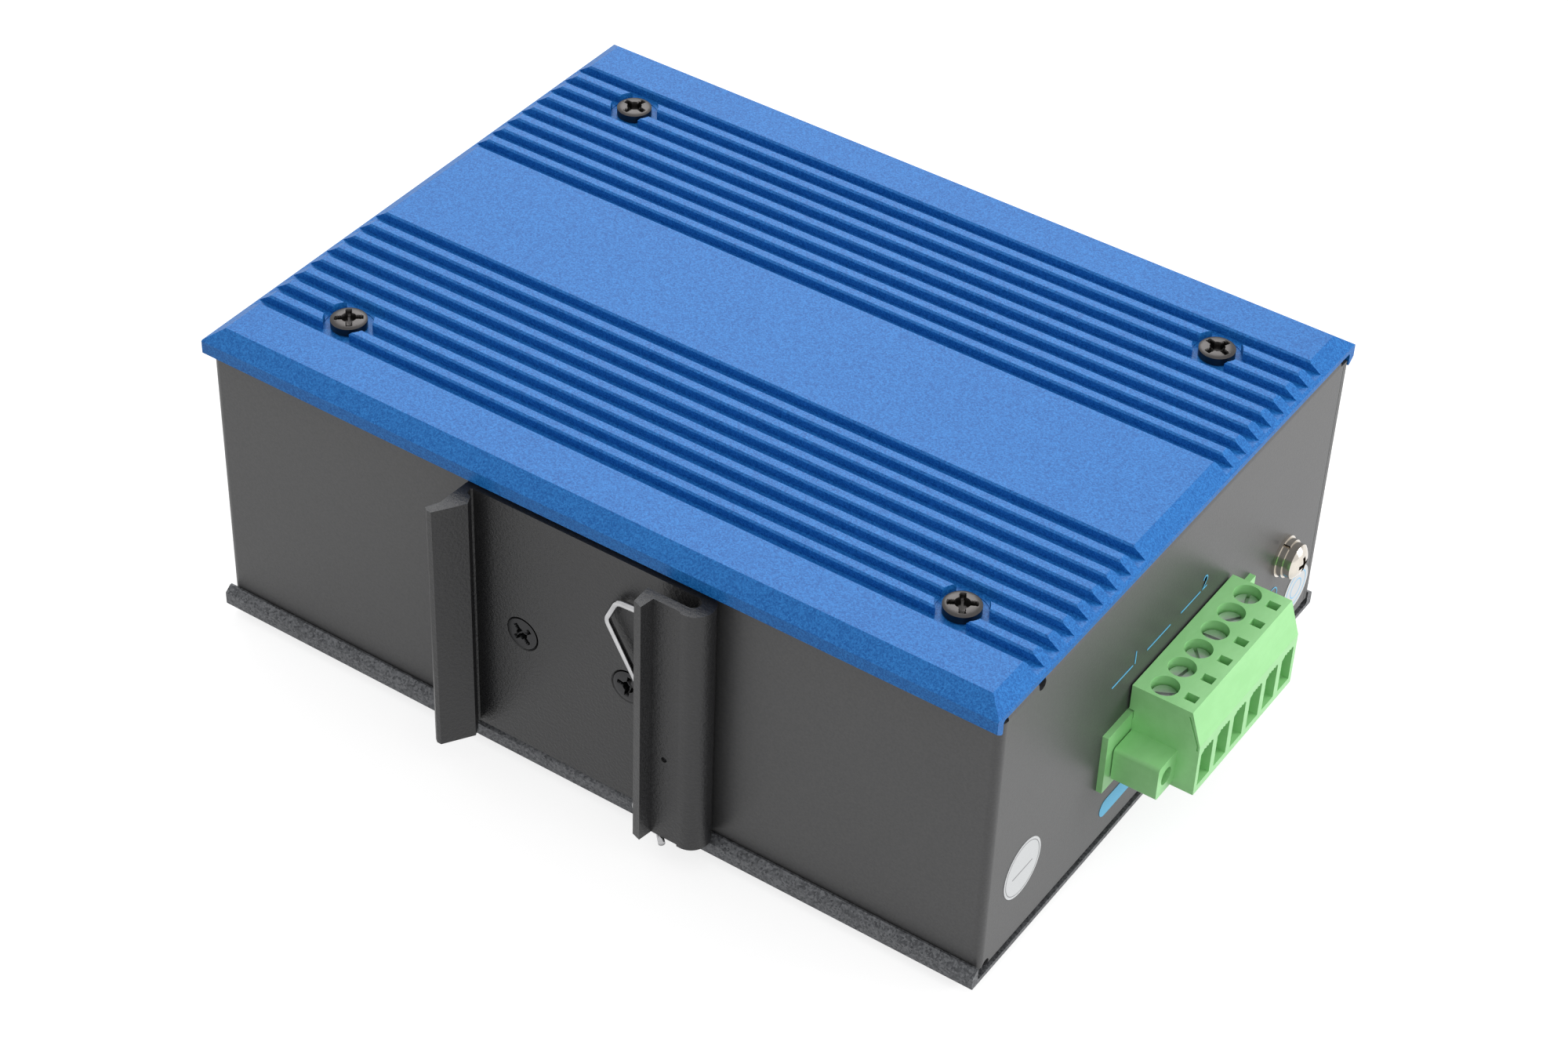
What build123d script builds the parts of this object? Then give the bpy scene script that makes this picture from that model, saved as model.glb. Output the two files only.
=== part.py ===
from build123d import *
import math
import os

# Industrial ethernet switch for a 35 mm rail. Millimetres, +Z up.
# Origin: middle of the lower cover's underside. +X: power terminals, -Y: rail clip, +Y: ports.
# The lowest face rests at z = 0.

# Overall size, over the two covers
LENGTH = 143.0
WIDTH = 106.0
HEIGHT = 57.5

# Extruded covers, measured inwards from their outer faces
RIBBED_PLATE = 2.9
PLAIN_PLATE = 2.8
SIDE_BEVEL_RUN = 2.75
SIDE_BEVEL_DROP = 2.1
END_BEVEL_RUN = 2.75
END_BEVEL_DROP = 1.95
LIP_THICKNESS = 1.55
LIP_FACE = 2.2
LIP_EDGE_RUN = 1.2
LIP_EDGE_DROP = 0.95
LIP_ROOT_FILLET = 0.5

# Cooling grooves, one group each side of the plain middle band
GROOVES_PER_GROUP = 8
GROOVE_PITCH = 4.0
GROOVE_WIDTH = 2.05
GROOVE_DEPTH = 1.6
FIRST_GROOVE_Y = 13.1
RIB_EDGE = 0.3

# Folded steel case
SHEET = 1.0
BEND_INNER_RADIUS = 0.4
BEND = SHEET + BEND_INNER_RADIUS
FLANGE_SHARE = 0.64
LIP_CLEARANCE = 0.2
END_INSET = 0.2
PANEL_GAP = 0.1
RELIEF_RADIUS = 0.9
CORNER_FOLD_GAP = 8.3
EAR_LENGTH = 7.0
EAR_HEIGHT = 9.0

# Cover screws and the posts that they pull on
SCREW_X = 55.6
SCREW_MARGIN_Y = 16.0
SCREW_Y = WIDTH / 2 - SCREW_MARGIN_Y
M3_RADIUS = 1.45
M3_TAPPED_RADIUS = 1.5
M3_FREE_RADIUS = 1.7
HEAD_WELL_RADIUS = 4.0
HEAD_WELL_DEPTH = 1.7
HEAD_RADIUS = 2.9
HEAD_HEIGHT = 2.1
HEAD_DOME = 0.7
COUNTERSINK_RADIUS = 3.1
SCREW_LENGTH = 8.0
POST_ACROSS_FLATS = 5.5
POST_HOLE_DEPTH = 10.0
POST_STUD = 5.0
FIT_GAP = 0.05

# Shanks and bores that nothing shows are drawn with a few flats
HIDDEN_SIDES = 12

# Circuit board
BOARD_THICKNESS = 1.6
BOARD_UNDERSIDE = 14.8
BOARD_END_GAP = 5.3
BOARD_BACK_GAP = 5.25
BOARD_FRONT_GAP = 2.75
BOARD_CORNER = 2.0

# Copper ports: width, height and depth of one shielded socket
COPPER_PORTS = 4
PORT_PITCH = 16.0
FIRST_PORT_X = -40.0
PORT_WIDTH = 15.4
PORT_HEIGHT = 13.2
PORT_DEPTH = 21.0
PORT_PROUD = 0.3
SHELL = 0.3
SOCKET_WIDTH = 11.8
SOCKET_HEIGHT = 7.2
SOCKET_DEPTH = 13.5
SOCKET_FLOOR = 4.4
LATCH_WIDTH = 6.2
LATCH_HEIGHT = 2.6
CONTACT_PITCH = 1.02
CONTACTS = 8
CONTACT_THICKNESS = 0.35
CONTACT_RISE = 2.8

# Fibre module cages
FIBRE_CAGES = 2
CAGE_PITCH = 16.0
FIRST_CAGE_X = 27.5
CAGE_WIDTH = 14.4
CAGE_HEIGHT = 9.8
CAGE_DEPTH = 47.0
CAGE_SHEET = 0.4
CUTOUT_GAP = 0.25

# Status lights
PIPE_SIZE = 2.0
PIPE_Z = 35.0
PIPE_PROUD = 0.6
PIPE_BEHIND_PORT = 6.55
PIPE_BEHIND_CAGE = 3.55
LAMP_SIZE = 3.0
LAMP_HEIGHT = 1.4

# Pluggable power terminal
POLES = 6
POLE_PITCH = 5.08
PLUG_Y = 3.35
PLUG_CHEEK = 0.25
PLUG_BASE_Z = 16.3
PLUG_TOP_Z = 32.0
PLUG_STANDS_OUT = 12.4
PLUG_SLOPE_Z = 26.1
PLUG_SLOPE_RUN = 1.9
PLUG_TONGUE = 8.0
TONGUE_BASE_Z = 17.6
TONGUE_TOP_Z = 25.7
WELL_RADIUS = 2.2
WELL_DEPTH = 5.2
WELL_OUT = 4.3
TEST_HOLE = 2.0
TEST_HOLE_OUT = 8.7
TEST_HOLE_DEPTH = 3.0
WINDOW_WIDTH = 3.7
WINDOW_BASE_Z = 17.6
WINDOW_TOP_Z = 24.6
WINDOW_DEPTH = 10.6
WINDOW_FRAME = 1.2
WINDOW_TOOTH = 0.35
WINDOW_TEETH = 4
SEAM = 0.25
CLAMP_WIDTH = 3.5
CLAMP_HEIGHT = 6.4
CLAMP_LENGTH = 4.6
CLAMP_WALL = 0.6
CLAMP_SCREW_RADIUS = 1.9
CLAMP_SCREW_HEAD = 1.5
CLAMP_SCREW_SHANK = 1.0
SHANK_GAP = 0.15
CLAMP_SCREW_LENGTH = 4.6
SLOT_WIDTH = 0.6
SLOT_DEPTH = 0.7
EAR_BLOCK_WIDTH = 5.4
EAR_BLOCK_BASE_Z = 17.3
EAR_BLOCK_TOP_Z = 23.6
EAR_BLOCK_REACH = 7.8
EAR_HOLE_RADIUS = 1.5
FIXING_HEAD_BASE = 2.5
FIXING_HEAD = 1.5
FIXING_REACH = 3.0
FIXING_SHANK = 1.25
PLATE_THICKNESS = 1.0
PLATE_BASE_Z = 15.8
PLATE_TOP_Z = 27.0
PLATE_MARGIN = 1.9
HEADER_WALL = 0.9
HEADER_BACK = 1.4
PIN_SIZE = 1.0
PIN_REACH = 6.0

# Earth screw
EARTH_Y = 38.0
EARTH_Z = 22.5
M4_RADIUS = 1.95
M4_TAPPED_RADIUS = 2.0
EARTH_HEAD_RADIUS = 3.0
EARTH_HEAD_HEIGHT = 2.4
EARTH_SCREW_LENGTH = 8.0
PLAIN_WASHER_RADIUS = 3.6
PLAIN_WASHER = 0.5
SPRING_WASHER_RADIUS = 3.3
SPRING_WASHER = 1.0
SPRING_WASHER_CUT = 0.5
NUT_ACROSS_FLATS = 7.0
CLIP_NUT_ACROSS_FLATS = 5.5
NUT_HEIGHT = 3.0

# Rail clip: an extrusion that stands on the back wall
RAIL_WIDTH = 35.0
RAIL_PLAY = 0.5
CLIP_PLATE = 1.8
CLIP_GAP = 0.15
CLIP_LEFT_X = -18.5
CLIP_ARM_X = CLIP_LEFT_X + RAIL_WIDTH + RAIL_PLAY
CLIP_SLOT = 2.5
CLIP_ARM = 1.8
CLIP_SLOT_DEPTH = 6.0
CLIP_HOOK_OUT = 7.9
CLIP_TIP_OUT = 6.5
CLIP_SCREW_Z = 28.0
CLIP_SCREW_X = (-10.3, 9.5)
CLIP_HEAD_RADIUS = 2.75
CLIP_DIMPLE_RADIUS = 0.5
CLIP_DIMPLE_DEPTH = 0.7
CLIP_DIMPLE_Z = 21.6
WIRE_RADIUS = 0.55
WIRE_TIP_X = 6.8
WIRE_END_SHARE = 0.14
WIRE_TIP_SHARE = 0.16
WIRE_RETURN_SHARE = 0.45
WIRE_BEND = 1.6
BEND_STEPS = 3

# Inner electronics
CHIP_SIZE = 27.0
CHIP_HEIGHT = 2.0
CHIP_X = 2.0
CHIP_BEHIND_MAGNETICS = 21.0
PAD_THICKNESS = 1.0
PAD_MARGIN = 1.0
SPREADER_SHEET = 2.0
SPREADER_WIDTH = 34.0
SPREADER_BASE = 32.0
SPREADER_FLANGE = 12.0
MAGNETICS_LENGTH = 13.0
MAGNETICS_WIDTH = 7.0
MAGNETICS_HEIGHT = 5.5
MAGNETICS_BEHIND_PORT = 15.55
TRANSFORMER_X = -46.0
TRANSFORMER_Y = -18.0
TRANSFORMER_LIFT = 1.0
CORE_LENGTH = 22.0
CORE_WIDTH = 8.0
CORE_HEIGHT = 16.0
CORE_LIMB = 3.2
WINDING_WIDTH = 16.0
WINDING_GAP = 0.1
FOOT_WIDTH = 2.0
CAPACITORS = 3
CAPACITOR_RADIUS = 5.0
CAPACITOR_HEIGHT = 16.0
CAPACITOR_PITCH = 13.0
CAPACITOR_EDGE_GAP = 2.0
FIRST_CAPACITOR_X = -24.0
INDUCTOR_SIZE = 12.0
INDUCTOR_HEIGHT = 8.0
INDUCTOR_X = -34.0
INDUCTOR_BEHIND_MAGNETICS = 11.0
MEMORY_END_GAP = 26.0
MEMORY_LENGTH = 12.0
MEMORY_WIDTH = 8.0
MEMORY_HEIGHT = 1.4
MEMORY_BACK_GAP = 26.0
CRYSTAL_LENGTH = 11.0
CRYSTAL_WIDTH = 4.6
CRYSTAL_HEIGHT = 3.6
CRYSTAL_BACK_GAP = 16.0

# Levels and faces that follow from the sizes above
UP = Vector(0, 0, 1)
LIP_DEPTH = SIDE_BEVEL_DROP + LIP_FACE + LIP_EDGE_DROP
CASE_TOP = HEIGHT - RIBBED_PLATE
CASE_BASE = PLAIN_PLATE
WALL_X = LENGTH / 2 - END_INSET
WALL_Y = WIDTH / 2 - LIP_THICKNESS - LIP_CLEARANCE
FLANGE = FLANGE_SHARE * (WALL_X - SCREW_X - POST_ACROSS_FLATS / math.sqrt(3))
BOARD_HALF_LENGTH = WALL_X - BOARD_END_GAP
BOARD_BACK_Y = -WALL_Y + BOARD_BACK_GAP
BOARD_FRONT_Y = WALL_Y - BOARD_FRONT_GAP
BOARD_TOP = BOARD_UNDERSIDE + BOARD_THICKNESS
PORT_FRONT_Y = WALL_Y + PORT_PROUD
COPPER_X = [FIRST_PORT_X + PORT_PITCH * i for i in range(COPPER_PORTS)]
CAGE_X = [FIRST_CAGE_X + CAGE_PITCH * i for i in range(FIBRE_CAGES)]
PORT_BACK_Y = PORT_FRONT_Y - PORT_DEPTH
LAMPS = [(x, PORT_BACK_Y - PIPE_BEHIND_PORT) for x in COPPER_X]
LAMPS += [(x, PORT_FRONT_Y - CAGE_DEPTH - PIPE_BEHIND_CAGE) for x in CAGE_X]
MAGNETICS_Y = PORT_BACK_Y - MAGNETICS_BEHIND_PORT
CHIP_Y = MAGNETICS_Y - CHIP_BEHIND_MAGNETICS
POLE_Y = [PLUG_Y + POLE_PITCH * (i - (POLES - 1) / 2) for i in range(POLES)]
PLUG_WIDTH = POLES * POLE_PITCH + 2 * PLUG_CHEEK
PLUG_BACK_X = WALL_X + PLATE_THICKNESS + 0.1
PLUG_FRONT_X = WALL_X + PLUG_STANDS_OUT
HEADER_WIDTH = PLUG_WIDTH + 2 * HEADER_WALL + 2 * FIT_GAP
EAR_Y = PLUG_WIDTH / 2 + EAR_BLOCK_WIDTH / 2
CLIP_FRONT_Y = -WALL_Y - CLIP_PLATE
CLIP_BASE_Z = LIP_DEPTH + CLIP_GAP
CLIP_HEIGHT = HEIGHT - LIP_DEPTH - CLIP_GAP - CLIP_BASE_Z
CORNERS = [(sx * SCREW_X, sy * SCREW_Y) for sx in (-1, 1) for sy in (-1, 1)]

FORWARD_X = Plane(origin=(0, 0, 0), x_dir=(0, 1, 0), z_dir=(1, 0, 0))
BACK_Y = Plane(origin=(0, 0, 0), x_dir=(1, 0, 0), z_dir=(0, -1, 0))


def block(x0, x1, y0, y1, z0, z1):
    """A box given by its two corners."""
    return Pos((x0 + x1) / 2, (y0 + y1) / 2, (z0 + z1) / 2) * Box(x1 - x0, y1 - y0, z1 - z0)


def rod(radius, z0, z1, x=0, y=0):
    """An upright cylinder between two levels."""
    return Pos(x, y, (z0 + z1) / 2) * Cylinder(radius, z1 - z0)


def bore(radius, z0, z1, x=0, y=0):
    """A hidden shank or bore with a few flats, upright between two levels."""
    return Pos(x, y, z0) * extrude(RegularPolygon(radius, HIDDEN_SIDES), z1 - z0)


def hexagon_post(across_flats, z0, z1):
    """An upright hexagonal bar between two levels."""
    return Pos(0, 0, z0) * extrude(RegularPolygon(across_flats / 2, 6, major_radius=False), z1 - z0)


def facing(x, y, z, direction):
    """A frame at a point whose own +Z looks along the given direction."""
    return Plane(origin=(x, y, z), z_dir=direction).location


def cross_recess(head_radius):
    """The cross that a screwdriver turns, cut from z = 0 downwards."""
    arm = 0.95 * head_radius
    depth = 0.42 * head_radius
    cross = Rectangle(arm, 0.26 * head_radius) + Rectangle(0.26 * head_radius, arm)
    return extrude(Pos(0, 0, 0.5) * cross, -0.5 - depth)


def domed_screw(head_radius, head_height, dome, shank_radius, length):
    """A pan head screw. z = 0 is the seat under the head, and the head stands above it."""
    side = head_height - dome
    outline = Polyline((0, 0), (head_radius, 0), (head_radius, side))
    crown = ThreePointArc((head_radius, side), (0.62 * head_radius, side + 0.72 * dome),
                          (0, head_height))
    face = make_face(outline + crown + Line((0, head_height), (0, 0)))
    body = revolve(Plane.XZ * face, Axis.Z) + bore(shank_radius, -length, 0)
    return body - Pos(0, 0, head_height) * cross_recess(head_radius)


def flat_screw(head_radius, shank_radius, length):
    """A countersunk screw. z = 0 is the flat of its head."""
    cone = head_radius - shank_radius
    outline = Polyline((0, 0), (head_radius, 0), (shank_radius, -cone), (0, -cone), (0, 0))
    body = revolve(Plane.XZ * make_face(outline), Axis.Z) + bore(shank_radius, -length, -cone)
    return body - cross_recess(head_radius)


def countersink(rim_radius, hole_radius, depth):
    """The cut that a countersunk screw sits in, opening upwards at z = 0."""
    over = 0.5
    cone = rim_radius - hole_radius
    outline = Polyline((0, over), (rim_radius + over, over), (hole_radius, -cone), (0, -cone), (0, over))
    return revolve(Plane.XZ * make_face(outline), Axis.Z) + bore(hole_radius, -depth, -cone)


def cover_section(plate, grooved):
    """A cover's cross-section: across the width, and inwards from the outer face."""
    half = WIDTH / 2
    left = [(-half + SIDE_BEVEL_RUN, 0), (-half, SIDE_BEVEL_DROP), (-half, SIDE_BEVEL_DROP + LIP_FACE),
            (-half + LIP_EDGE_RUN, LIP_DEPTH), (-half + LIP_THICKNESS, LIP_DEPTH),
            (-half + LIP_THICKNESS, plate)]
    right = [(-y, depth) for y, depth in reversed(left)]
    face = make_face(Polyline(*left, *right, left[0]))
    roots = [v for v in face.vertices()
             if abs(abs(v.X) - half + LIP_THICKNESS) < 0.01 and abs(v.Y - plate) < 0.01]
    face = fillet(roots, LIP_ROOT_FILLET)
    if not grooved:
        return face
    for side in (-1, 1):
        for i in range(GROOVES_PER_GROUP):
            centre = side * (FIRST_GROOVE_Y + GROOVE_PITCH * i)
            face -= Pos(centre, GROOVE_DEPTH / 2 - 0.5) * Rectangle(GROOVE_WIDTH, GROOVE_DEPTH + 1)
    inner = [v for v in face.vertices() if abs(v.X) < half - SIDE_BEVEL_RUN - 0.01]
    return chamfer([v for v in inner if abs(v.Y) < 0.01], RIB_EDGE)


def cover(plate, outer_z, inward, grooved):
    """An extruded cover with bevelled ends; inward is +1 or -1 along Z."""
    plane = Plane(origin=(0, 0, outer_z), x_dir=(0, 1, 0), z_dir=(inward, 0, 0))
    body = extrude(plane * cover_section(plate, grooved), LENGTH / 2, both=True)
    for end in (-1, 1):
        tip = end * (LENGTH / 2 + 1)
        start = end * (LENGTH / 2 - END_BEVEL_RUN)
        slope = END_BEVEL_DROP / END_BEVEL_RUN
        low = outer_z + inward * slope * (END_BEVEL_RUN + 1)
        wedge = make_face(Polyline((start, outer_z), (tip, low), (tip, outer_z - inward),
                                   (start - end / slope, outer_z - inward), (start, outer_z)))
        body -= extrude(BACK_Y * wedge, WIDTH, both=True)
    return body


def heatsink_cover():
    """The blue cover: ribs on top and a well round each screw."""
    body = cover(RIBBED_PLATE, HEIGHT, -1, True)
    for x, y in CORNERS:
        body -= rod(HEAD_WELL_RADIUS, HEIGHT - HEAD_WELL_DEPTH, HEIGHT + 1, x, y)
        body -= bore(M3_FREE_RADIUS, CASE_TOP - 1, HEIGHT, x, y)
    return body


def lower_cover():
    """The plain grey cover with countersunk screw holes underneath."""
    body = cover(PLAIN_PLATE, 0, 1, False)
    for x, y in CORNERS:
        body -= facing(x, y, 0, (0, 0, -1)) * countersink(COUNTERSINK_RADIUS, M3_FREE_RADIUS, PLAIN_PLATE + 1)
    return body


def edge_fold(point, inward, up, run):
    """The bend and flange along one edge of a wall, centred on a point of the wall's outer face."""
    inward = Vector(*inward)
    plane = Plane(origin=point, x_dir=inward, z_dir=inward.cross(UP * up))
    outer = Pos(FLANGE / 2, -BEND / 2 - 0.25) * Rectangle(FLANGE, BEND + 0.5)
    outer = fillet([v for v in outer.vertices() if v.X < 0.01 and v.Y > -0.01], BEND)
    inner = Pos(FLANGE / 2 + SHEET, -BEND / 2 - 0.25 - SHEET) * Rectangle(FLANGE, BEND + 0.5)
    inner = fillet([v for v in inner.vertices() if v.X < SHEET + 0.01 and v.Y > -SHEET - 0.01],
                   BEND_INNER_RADIUS)
    return extrude(plane * (outer - inner), run / 2, both=True)


def end_folds(side):
    """Folds of one end wall: a corner tab and a long flange above, one flange below."""
    tab_end = -WALL_Y + BEND + CORNER_FOLD_GAP
    tab_start = -WALL_Y + BEND + 0.2
    far = WALL_Y - SHEET - PANEL_GAP - 0.9
    spans = [(CASE_TOP, 1, tab_start, tab_end), (CASE_TOP, 1, tab_end + 2 * RELIEF_RADIUS, far),
             (CASE_BASE, -1, tab_start + 0.9, far)]
    folds = [edge_fold((side * WALL_X, (a + b) / 2, z), (-side, 0, 0), up, b - a)
             for z, up, a, b in spans]
    cuts = [(tab_end + RELIEF_RADIUS, CASE_TOP - BEND), (tab_start + 0.45, CASE_BASE + BEND)]
    return folds, cuts


def hole(radius):
    """A hidden hole through the case sheet, about z = 0."""
    return bore(radius, -2 * SHEET, 2 * SHEET)


def case_wrap():
    """Back wall and both end walls, folded from one sheet."""
    far = WALL_Y - SHEET - PANEL_GAP
    outer = Pos(0, (far - WALL_Y) / 2) * Rectangle(2 * WALL_X, far + WALL_Y)
    outer = fillet([v for v in outer.vertices() if v.Y < 0], BEND)
    inner = Pos(0, (far - WALL_Y) / 2 + SHEET) * Rectangle(2 * (WALL_X - SHEET), far + WALL_Y)
    inner = fillet([v for v in inner.vertices() if v.Y < 0], BEND_INNER_RADIUS)
    low = CASE_BASE + BEND
    body = Pos(0, 0, low) * extrude(outer - inner, CASE_TOP - BEND - low)
    back_run = 2 * (WALL_X - FLANGE - 3)
    for z, up in ((CASE_TOP, 1), (CASE_BASE, -1)):
        body += edge_fold((0, -WALL_Y, z), (0, 1, 0), up, back_run)
    for side in (-1, 1):
        folds, cuts = end_folds(side)
        for fold in folds:
            body += fold
        for y, z in cuts:
            body -= facing(side * WALL_X, y, z, (1, 0, 0)) * Cylinder(RELIEF_RADIUS, 4 * SHEET)
    half = HEADER_WIDTH / 2 + CUTOUT_GAP
    body -= block(WALL_X - 2, WALL_X + 1, PLUG_Y - half, PLUG_Y + half,
                  BOARD_TOP - CUTOUT_GAP, TONGUE_TOP_Z + HEADER_WALL + CUTOUT_GAP)
    for y in (PLUG_Y - EAR_Y, PLUG_Y + EAR_Y):
        body -= facing(WALL_X, y, (EAR_BLOCK_BASE_Z + EAR_BLOCK_TOP_Z) / 2, (1, 0, 0)) * hole(M3_FREE_RADIUS)
    body -= facing(WALL_X, EARTH_Y, EARTH_Z, (1, 0, 0)) * hole(M4_RADIUS + 0.2)
    for x in CLIP_SCREW_X:
        body -= facing(x, -WALL_Y, CLIP_SCREW_Z, (0, 1, 0)) * hole(M3_FREE_RADIUS)
    return body


def port_panel():
    """The front panel: one folded sheet with the port cut-outs and two ears at each end."""
    low = CASE_BASE + BEND
    top = CASE_TOP - BEND
    body = block(-WALL_X, WALL_X, WALL_Y - SHEET, WALL_Y, low, top)
    run = 2 * (WALL_X - FLANGE - 3)
    for z, up in ((CASE_TOP, 1), (CASE_BASE, -1)):
        body += edge_fold((0, WALL_Y, z), (0, -1, 0), up, run)
    for side in (-1, 1):
        inner = WALL_X - SHEET - FIT_GAP
        for z in (low + EAR_HEIGHT, top - EAR_HEIGHT):
            ear = block(inner - SHEET, inner, WALL_Y - SHEET - EAR_LENGTH, WALL_Y - SHEET / 2,
                        z - EAR_HEIGHT / 2, z + EAR_HEIGHT / 2)
            body += ear if side > 0 else mirror(ear, Plane.YZ)
    for x in COPPER_X:
        body -= block(x - PORT_WIDTH / 2 - CUTOUT_GAP, x + PORT_WIDTH / 2 + CUTOUT_GAP, WALL_Y - 3, WALL_Y + 1,
                      BOARD_TOP - CUTOUT_GAP, BOARD_TOP + PORT_HEIGHT + CUTOUT_GAP)
    for x in CAGE_X:
        body -= block(x - CAGE_WIDTH / 2 - CUTOUT_GAP, x + CAGE_WIDTH / 2 + CUTOUT_GAP, WALL_Y - 3, WALL_Y + 1,
                      BOARD_TOP - CUTOUT_GAP, BOARD_TOP + CAGE_HEIGHT + CUTOUT_GAP)
    for x in COPPER_X + CAGE_X:
        half = PIPE_SIZE / 2 + FIT_GAP
        body -= block(x - half, x + half, WALL_Y - 2 * SHEET, WALL_Y + SHEET, PIPE_Z - half, PIPE_Z + half)
    return body


def lower_post():
    """Short hexagonal post under the board, with a stud that passes through it."""
    body = hexagon_post(POST_ACROSS_FLATS, CASE_BASE, BOARD_UNDERSIDE)
    body += bore(M3_RADIUS, BOARD_UNDERSIDE, BOARD_TOP + POST_STUD)
    return body - bore(M3_TAPPED_RADIUS, CASE_BASE - 1, CASE_BASE + POST_HOLE_DEPTH)


def upper_post():
    """Long hexagonal post from the board to the ribbed cover, tapped right through."""
    body = hexagon_post(POST_ACROSS_FLATS, BOARD_TOP, CASE_TOP)
    return body - bore(M3_TAPPED_RADIUS, BOARD_TOP - 1, CASE_TOP + 1)


def circuit_board():
    """The main board, with holes for the post studs."""
    outline = Pos(0, (BOARD_BACK_Y + BOARD_FRONT_Y) / 2) * RectangleRounded(
        2 * BOARD_HALF_LENGTH, BOARD_FRONT_Y - BOARD_BACK_Y, BOARD_CORNER)
    body = Pos(0, 0, BOARD_UNDERSIDE) * extrude(outline, BOARD_THICKNESS)
    for x, y in CORNERS:
        body -= bore(M3_RADIUS + 0.1, BOARD_UNDERSIDE - 1, BOARD_TOP + 1, x, y)
    for y in POLE_Y:
        x = header_back_x() - PIN_SIZE
        body -= block(x - PIN_SIZE, x, y - 0.55, y + 0.55, BOARD_UNDERSIDE - 1, BOARD_TOP + 1)
    return body


def port_body(x):
    """A copper port's moulded socket with its latch notch."""
    back = PORT_BACK_Y + SHELL
    body = block(x - PORT_WIDTH / 2 + SHELL, x + PORT_WIDTH / 2 - SHELL, back, PORT_FRONT_Y - SHELL,
                 BOARD_TOP, BOARD_TOP + PORT_HEIGHT - SHELL)
    mouth = PORT_FRONT_Y + 1
    floor = BOARD_TOP + SOCKET_FLOOR
    body -= block(x - SOCKET_WIDTH / 2, x + SOCKET_WIDTH / 2, PORT_FRONT_Y - SOCKET_DEPTH, mouth,
                  floor, floor + SOCKET_HEIGHT)
    body -= block(x - LATCH_WIDTH / 2, x + LATCH_WIDTH / 2, PORT_FRONT_Y - SOCKET_DEPTH * 0.7, mouth,
                  floor - LATCH_HEIGHT, floor + 1)
    return body


def port_shell(x):
    """A copper port's folded shield: open at the back and below, with a window for the plug."""
    back = PORT_BACK_Y
    top = BOARD_TOP + PORT_HEIGHT
    body = block(x - PORT_WIDTH / 2, x + PORT_WIDTH / 2, back, PORT_FRONT_Y, BOARD_TOP, top)
    body -= block(x - PORT_WIDTH / 2 + SHELL, x + PORT_WIDTH / 2 - SHELL, back - 1, PORT_FRONT_Y - SHELL,
                  BOARD_TOP - 1, top - SHELL)
    floor = BOARD_TOP + SOCKET_FLOOR
    body -= block(x - SOCKET_WIDTH / 2, x + SOCKET_WIDTH / 2, PORT_FRONT_Y - 1, PORT_FRONT_Y + 1,
                  floor, floor + SOCKET_HEIGHT)
    body -= block(x - LATCH_WIDTH / 2, x + LATCH_WIDTH / 2, PORT_FRONT_Y - 1, PORT_FRONT_Y + 1,
                  floor - LATCH_HEIGHT, floor + 1)
    return body


def port_contacts():
    """Every sprung contact in the copper ports, as leaning strips under each socket's roof."""
    strips = []
    roof = BOARD_TOP + SOCKET_FLOOR + SOCKET_HEIGHT
    back = PORT_FRONT_Y - SOCKET_DEPTH
    for x in COPPER_X:
        for i in range(CONTACTS):
            cx = x + CONTACT_PITCH * (i - (CONTACTS - 1) / 2)
            face = make_face(Polyline((back, roof - CONTACT_RISE), (back + 7, roof - 0.5), (back + 7, roof),
                                      (back, roof - CONTACT_RISE + 0.6), (back, roof - CONTACT_RISE)))
            strips.append(Pos(cx, 0, 0) * extrude(FORWARD_X * face, CONTACT_THICKNESS / 2, both=True))
    return Compound(strips)


def fibre_cage(x):
    """A fibre module's cage: a folded steel tunnel, open at the front."""
    back = PORT_FRONT_Y - CAGE_DEPTH
    body = block(x - CAGE_WIDTH / 2, x + CAGE_WIDTH / 2, back, PORT_FRONT_Y, BOARD_TOP, BOARD_TOP + CAGE_HEIGHT)
    return body - block(x - CAGE_WIDTH / 2 + CAGE_SHEET, x + CAGE_WIDTH / 2 - CAGE_SHEET, back + CAGE_SHEET,
                        PORT_FRONT_Y + 1, BOARD_TOP + CAGE_SHEET, BOARD_TOP + CAGE_HEIGHT - CAGE_SHEET)


def light_pipe(x, back_y):
    """A clear square bar from a lamp up and out of the panel, with a facet that turns the light."""
    start = BOARD_TOP + LAMP_HEIGHT + FIT_GAP
    tip = WALL_Y + PIPE_PROUD
    half = PIPE_SIZE / 2
    face = make_face(Polyline((back_y - half, start), (back_y + half, start), (back_y + half, PIPE_Z - half),
                              (tip, PIPE_Z - half), (tip, PIPE_Z + half), (back_y + half, PIPE_Z + half),
                              (back_y - half, PIPE_Z - half), (back_y - half, start)))
    return Pos(x, 0, 0) * extrude(FORWARD_X * face, half, both=True)


def lamp(x, y):
    """A small lamp on the board, under its light pipe."""
    return on_board(x, y, LAMP_SIZE, LAMP_SIZE, LAMP_HEIGHT)


def header_back_x():
    """The back of the board header, behind the plug's tongue."""
    return PLUG_BACK_X - PLUG_TONGUE - FIT_GAP - HEADER_BACK


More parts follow.
